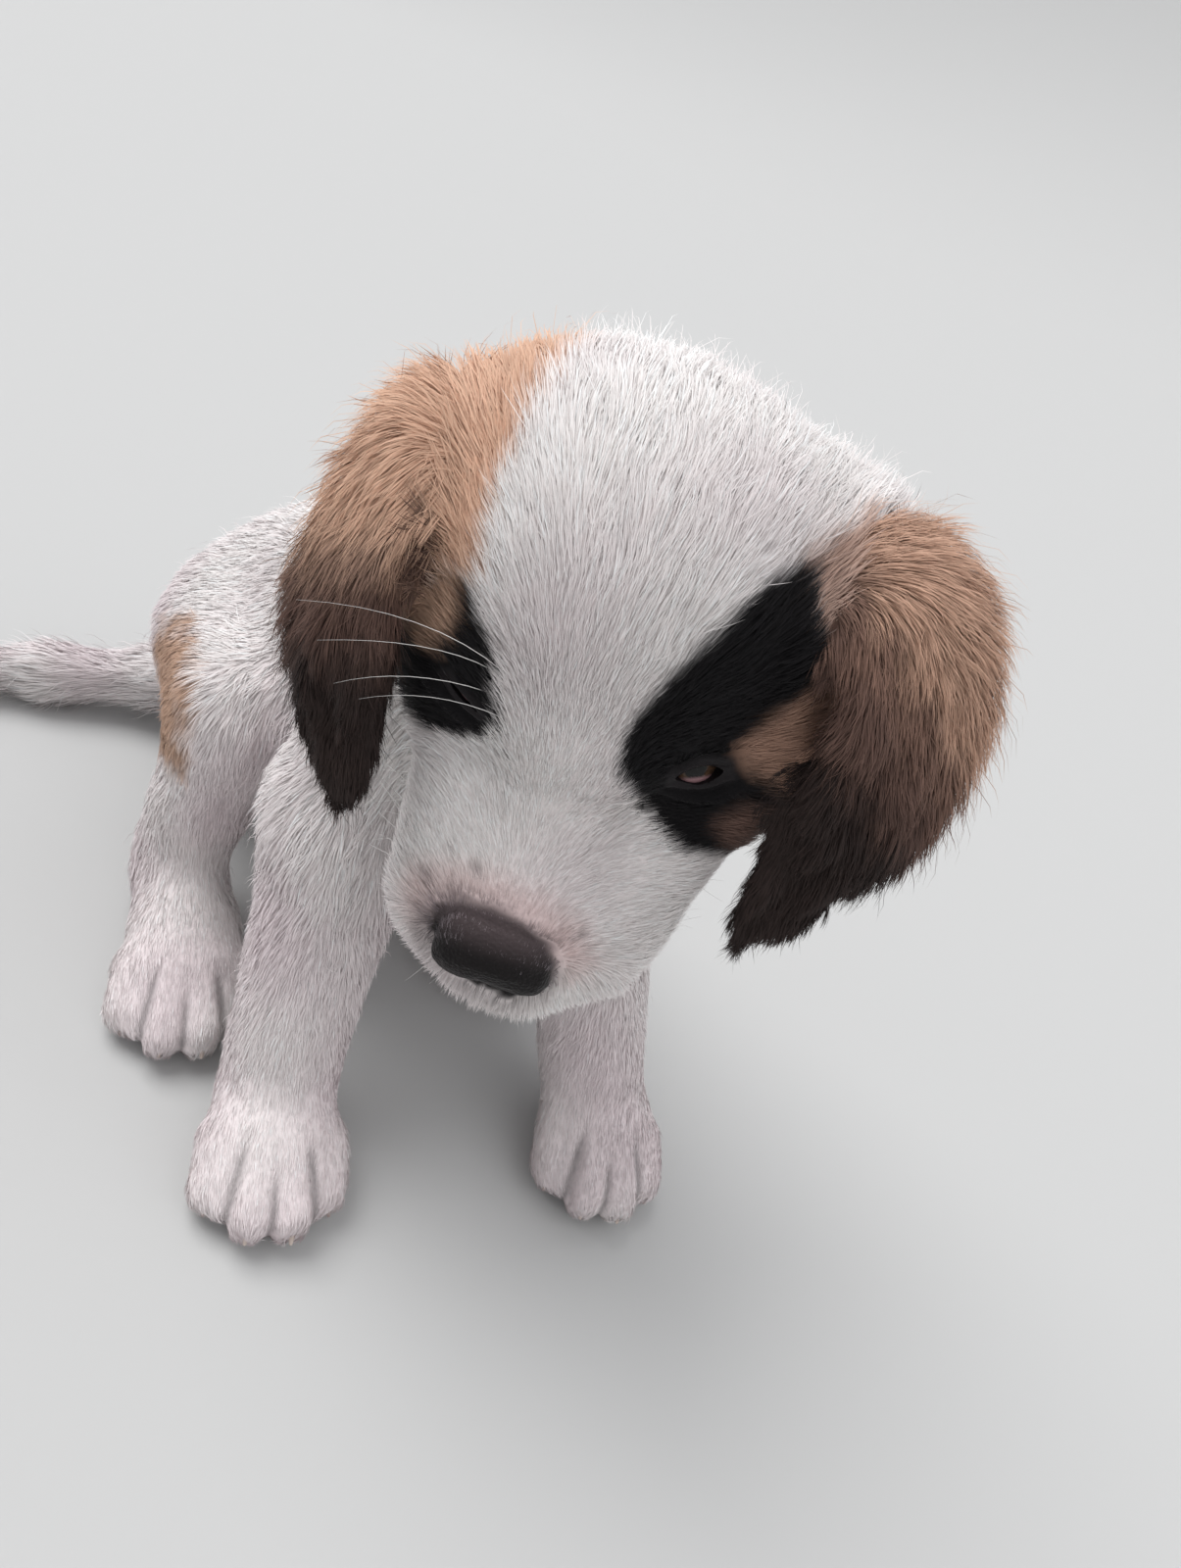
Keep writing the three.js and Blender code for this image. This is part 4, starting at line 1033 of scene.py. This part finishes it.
# Whiskers: over the right eye by root, middle and end from between the eyes; thickness in mm
skinTree = BVHTree.FromObject(skin, bpy.context.evaluated_depsgraph_get())
whiskerLook = {
    "sides": 4, "rings": 9, "thick": 0.2, "colour": (0.82, 0.80, 0.78), "cheek": 13, "chin": 11,
    "brow": [
        ((-20, 11, 20), (-38.6, 18, 33), (-65, 11, 30)),
        ((-23, 10.6, 18), (-36.4, 12.6, 30), (-59.4, 4.4, 26)),
        ((-23, 5.2, 15), (-40, 5.4, 26), (-54.6, -3.4, 20)),
        ((-18.2, 1.2, 14), (-34, 2.8, 24), (-48.8, -5, 18)),
    ],
}
whiskers = list(whiskerLook["brow"])
for s in (-1, 1):
    for k in range(whiskerLook["cheek"]):
        y = -22 - 3.4 * (k % 7) + draw.uniform(-1.5, 1.5)
        z = -27 - 7 * (k // 7) + draw.uniform(-2, 2)
        start = np.array([s * 34.0, y, z])
        reach = draw.uniform(9, 19)
        out = np.array([s * draw.uniform(0.75, 1.0), draw.uniform(-0.45, 0.35), draw.uniform(-0.5, 0.1)])
        bend = np.array([0, 0.25, -0.35]) * reach * 0.4
        whiskers.append((start, start + out * reach * 0.55 + bend * 0.2, start + out * reach + bend))
for k in range(whiskerLook["chin"]):
    x = -18 + 3.5 * k + draw.uniform(-1, 1)
    start = np.array([x, -74 + 0.012 * x * x, -40 + draw.uniform(-4, 3)])
    reach = draw.uniform(6, 12)
    out = np.array([0.03 * x + draw.uniform(-0.2, 0.2), -0.9, -0.45])
    bend = np.array([0, 0.1, -0.3]) * reach * 0.5
    whiskers.append((start, start + out * reach * 0.55, start + out * reach + bend))
verts, faces, spots = [], [], []
for line in whiskers:
    a, b, c = (fromHead(q) for q in line)
    hit = skinTree.find_nearest(Vector(a))[0]
    a = np.array(hit) if hit else a
    inward = unit(a - b) * 0.0015
    first = len(verts)
    rings, sides = whiskerLook["rings"], whiskerLook["sides"]
    for i in range(rings):
        t = i / (rings - 1)
        centre = a * (1 - t) ** 2 + 2 * b * t * (1 - t) + c * t * t + (inward if i == 0 else 0)
        ahead = unit(2 * (1 - t) * (b - a) + 2 * t * (c - b))
        sideways = unit(np.cross(ahead, [0.3, 0.2, 0.9]))
        other = np.cross(ahead, sideways)
        r = whiskerLook["thick"] * 0.0005 * (1 - 0.8 * t)
        for j in range(sides):
            angle = 2 * math.pi * j / sides
            verts.append(centre + (sideways * math.cos(angle) + other * math.sin(angle)) * r)
            spots.append(0.5 + 0.0015 * np.array([math.cos(angle), 2 * t - 1]))
    for i in range(rings - 1):
        for j in range(sides):
            k0, k1 = first + i * sides + j, first + i * sides + (j + 1) % sides
            faces.append((k0, k1, k1 + sides, k0 + sides))
    faces.append(tuple(first + j for j in reversed(range(sides))))
    faces.append(tuple(first + (rings - 1) * sides + j for j in range(sides)))
mesh = bpy.data.meshes.new("whiskers")
mesh.from_pydata([tuple(v) for v in verts], [], faces)
whiskerPiece = bpy.data.objects.new("whiskers", mesh)
bpy.context.scene.collection.objects.link(whiskerPiece)
editAll(whiskerPiece, turnOutwards)
shadeSmooth(whiskerPiece)
tone = np.tile(whiskerLook["colour"], (len(verts), 1)) * draw.uniform(0.9, 1.05, (len(verts), 1))
paintVertices(whiskerPiece, "mark", tone)
layer = mesh.uv_layers.new(name="OFBake")
order = readAll(mesh.loops, "vertex_index", 1, int)[:, 0]
layer.data.foreach_set("uv", np.array(spots)[order].ravel())
mesh.materials.append(coatMaterial("whisker", 0.4, 0, 700, 0.0001))
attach(whiskerPiece, "root")
print("whiskers", len(whiskers))

# Eyes: a bulging cornea over a dark iris, and the haw along the lower lid
for s in "lr":
    look, along, over = eyeAxes(s)
    deselectAll()
    bpy.ops.mesh.primitive_uv_sphere_add(segments=128, ring_count=84, radius=eyeLook["ball"] * step)
    eye = bpy.context.object
    eye.name = "eyeball_" + s
    shape = pointsOf(eye)
    gaze = unit(look - eyeLook["turn"] * along + eyeLook["turn"] * over) @ headAxes
    facing = unit(shape)
    angle = np.degrees(np.arccos(np.clip(facing @ gaze, -1, 1)))
    first = unit(np.cross(gaze, [0, 0, 1]))
    around = np.arctan2(facing @ first, facing @ np.cross(gaze, first))
    iris = (1 - smoothStep(angle, *eyeLook["iris edge"]))[:, None]
    pupil = (1 - smoothStep(angle, *eyeLook["pupil edge"]))[:, None]
    streak = 1 + 0.3 * np.sin(around * 31) * np.sin(around * 13)
    streak = (streak - 0.5 * smoothStep(angle, 34, 42))[:, None]
    tone = np.array(eyeLook["white"]) * (1 - iris) + np.array(eyeLook["iris"]) * iris * streak
    tone = tone * (1 - pupil) + 0.004 * pupil
    local = shape @ headAxes.T / step
    wide, tall = eyeLook["open"][s]
    u = local @ along
    low = -(local @ over) - eyeLook["haw edge"] * tall - 0.10 * u - 0.02 * u ** 2
    haw = smoothStep(low, 0, 0.5)[:, None] * (local @ look > 0)[:, None]
    tone = tone * (1 - haw) + np.array(eyeLook["haw"]) * haw
    cornea = eyeLook["cornea"] * (1 - smoothStep(angle, 20, 44))
    shape = shape * (1 + cornea + eyeLook["haw out"] * haw[:, 0])[:, None]
    setPoints(eye, shape + eyeMiddle[s])
    paintVertices(eye, "mark", tone)
    m = coatMaterial("wet eye " + s, 0.08, 0, 260, 0.00003)
    shader = m.node_tree.nodes["Principled BSDF"]
    shader.inputs["Specular IOR Level"].default_value = 0.14
    shader.inputs["Coat Weight"].default_value = 0.18
    shader.inputs["Coat Roughness"].default_value = 0.02
    eye.data.materials.append(m)
    shadeSmooth(eye)
    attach(eye, "root")
    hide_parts("eye_" + s)
print("eyes made")

# Claws: short, blunt and horny, mostly hidden by the hair of the toes
clawLook = {
    "cell": 0.00045, "smoothing": 4, "size": 0.66, "in": 0.0042,
    "root": (0.34, 0.26, 0.24), "tip": (0.62, 0.53, 0.47), "pale from": 30, "pale at": 46,
}
for tag in ("fore_l", "fore_r", "hind_l", "hind_r"):
    names = ["claw_" + tag + "_" + str(i) for i in range(1, 5)]
    made = []
    x, y, turn = pawPlaces[tag.replace("_", "paw_")]
    back = np.array([-math.sin(math.radians(turn)), math.cos(math.radians(turn)), 0])
    for n in names:
        claw = copyOfNodes([n], n + "_horn")
        points = pointsOf(claw)
        middle = points.mean(0)
        setPoints(claw, middle + (points - middle) * clawLook["size"] + back * clawLook["in"])
        made.append(claw)
    choose(made[0])
    for o in made:
        o.select_set(True)
    bpy.ops.object.join()
    claws = bpy.context.object
    claws.name = "claws_" + tag
    remeshed(claws, clawLook["cell"], clawLook["smoothing"])
    shadeSmooth(claws)
    points = pointsOf(claws)
    ahead = -(points - fromBody([x, y, 0])) @ back / step
    t = smoothStep(ahead, clawLook["pale from"], clawLook["pale at"])[:, None]
    paintVertices(claws, "mark", np.array(clawLook["root"]) * (1 - t) + np.array(clawLook["tip"]) * t)
    claws.data.materials.append(coatMaterial("claw " + tag, 0.35, 0, 900, 0.0001))
    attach(claws, "root")
    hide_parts(*names)
print("claws made")

# Floor, light, camera
deselectAll()
bpy.ops.mesh.primitive_grid_add(x_subdivisions=120, y_subdivisions=120, size=1, location=(0, 0, 0))
floor = bpy.context.object
floor.name = "floor"
# flat round the part, then a soft curve up on every side
floorLook = {"size": 18, "flat": 3.6, "rise": 3.0, "under": 0.0002, "colour": (0.5, 0.5, 0.495, 1)}
sweep = pointsOf(floor) * floorLook["size"]
away = np.hypot(sweep[:, 0], sweep[:, 1])
bow = np.clip((away - floorLook["flat"]) / floorLook["rise"], 0, math.pi / 2)
far = np.where(bow > 0, floorLook["flat"] + floorLook["rise"] * np.sin(bow), away)
sweep[:, :2] *= (far / np.maximum(away, 1e-6))[:, None]
sweep[:, 2] = floorLook["rise"] * (1 - np.cos(bow)) - floorLook["under"]
setPoints(floor, sweep)
shadeSmooth(floor)
m = bpy.data.materials.new("pale floor")
m.use_nodes = True
m.node_tree.nodes["Principled BSDF"].inputs["Base Color"].default_value = floorLook["colour"]
m.node_tree.nodes["Principled BSDF"].inputs["Roughness"].default_value = 0.9
floor.data.materials.append(m)

lightLook = {  # place it shines from, softness in degrees, strength
    "key": ((-0.55, 0.7, 1.6), 42, 2.3), "fill": ((0.5, -1.3, 1.0), 70, 0.6),
}
roomLook = {"colour": (0.90, 0.91, 0.94, 1), "strength": 0.78}
for name, (place, softness, power) in lightLook.items():
    light = bpy.data.lights.new(name, "SUN")
    light.angle = math.radians(softness)
    light.energy = power
    lamp = bpy.data.objects.new(name, light)
    lamp.location = place
    lamp.rotation_euler = (Vector((0, 0, 0)) - Vector(place)).to_track_quat("-Z", "Y").to_euler()
    bpy.context.scene.collection.objects.link(lamp)
world = bpy.data.worlds.new("studio")
world.use_nodes = True
world.node_tree.nodes["Background"].inputs["Color"].default_value = roomLook["colour"]
world.node_tree.nodes["Background"].inputs["Strength"].default_value = roomLook["strength"]
bpy.context.scene.world = world

cameraLook = {
    "pitch": 33.7, "roll": 26.0, "turn": 43.0, "from": (-167.0, 0.0, 336.0), "lens": 25.92, "sensor": 36,
}
pitch, roll, turn = (math.radians(cameraLook[k]) for k in ("pitch", "roll", "turn"))
forward = np.array([math.sin(turn) * math.cos(pitch), math.cos(turn) * math.cos(pitch), -math.sin(pitch)])
level = np.array([math.cos(turn), -math.sin(turn), 0])
below = np.cross(forward, level)
right = math.cos(roll) * level - math.sin(roll) * below
down = math.sin(roll) * level + math.cos(roll) * below
camera = bpy.data.objects.new("camera", bpy.data.cameras.new("camera"))
camera.data.lens = cameraLook["lens"]
camera.data.sensor_width = cameraLook["sensor"]
camera.data.clip_start = 0.01
camera.data.clip_end = 200
facing = Matrix((right, -down, -forward)).transposed().to_4x4()
facing.translation = Vector(fromBody(cameraLook["from"]))
camera.matrix_world = facing
bpy.context.scene.collection.objects.link(camera)
bpy.context.scene.camera = camera
bpy.context.scene.view_settings.view_transform = "Standard"
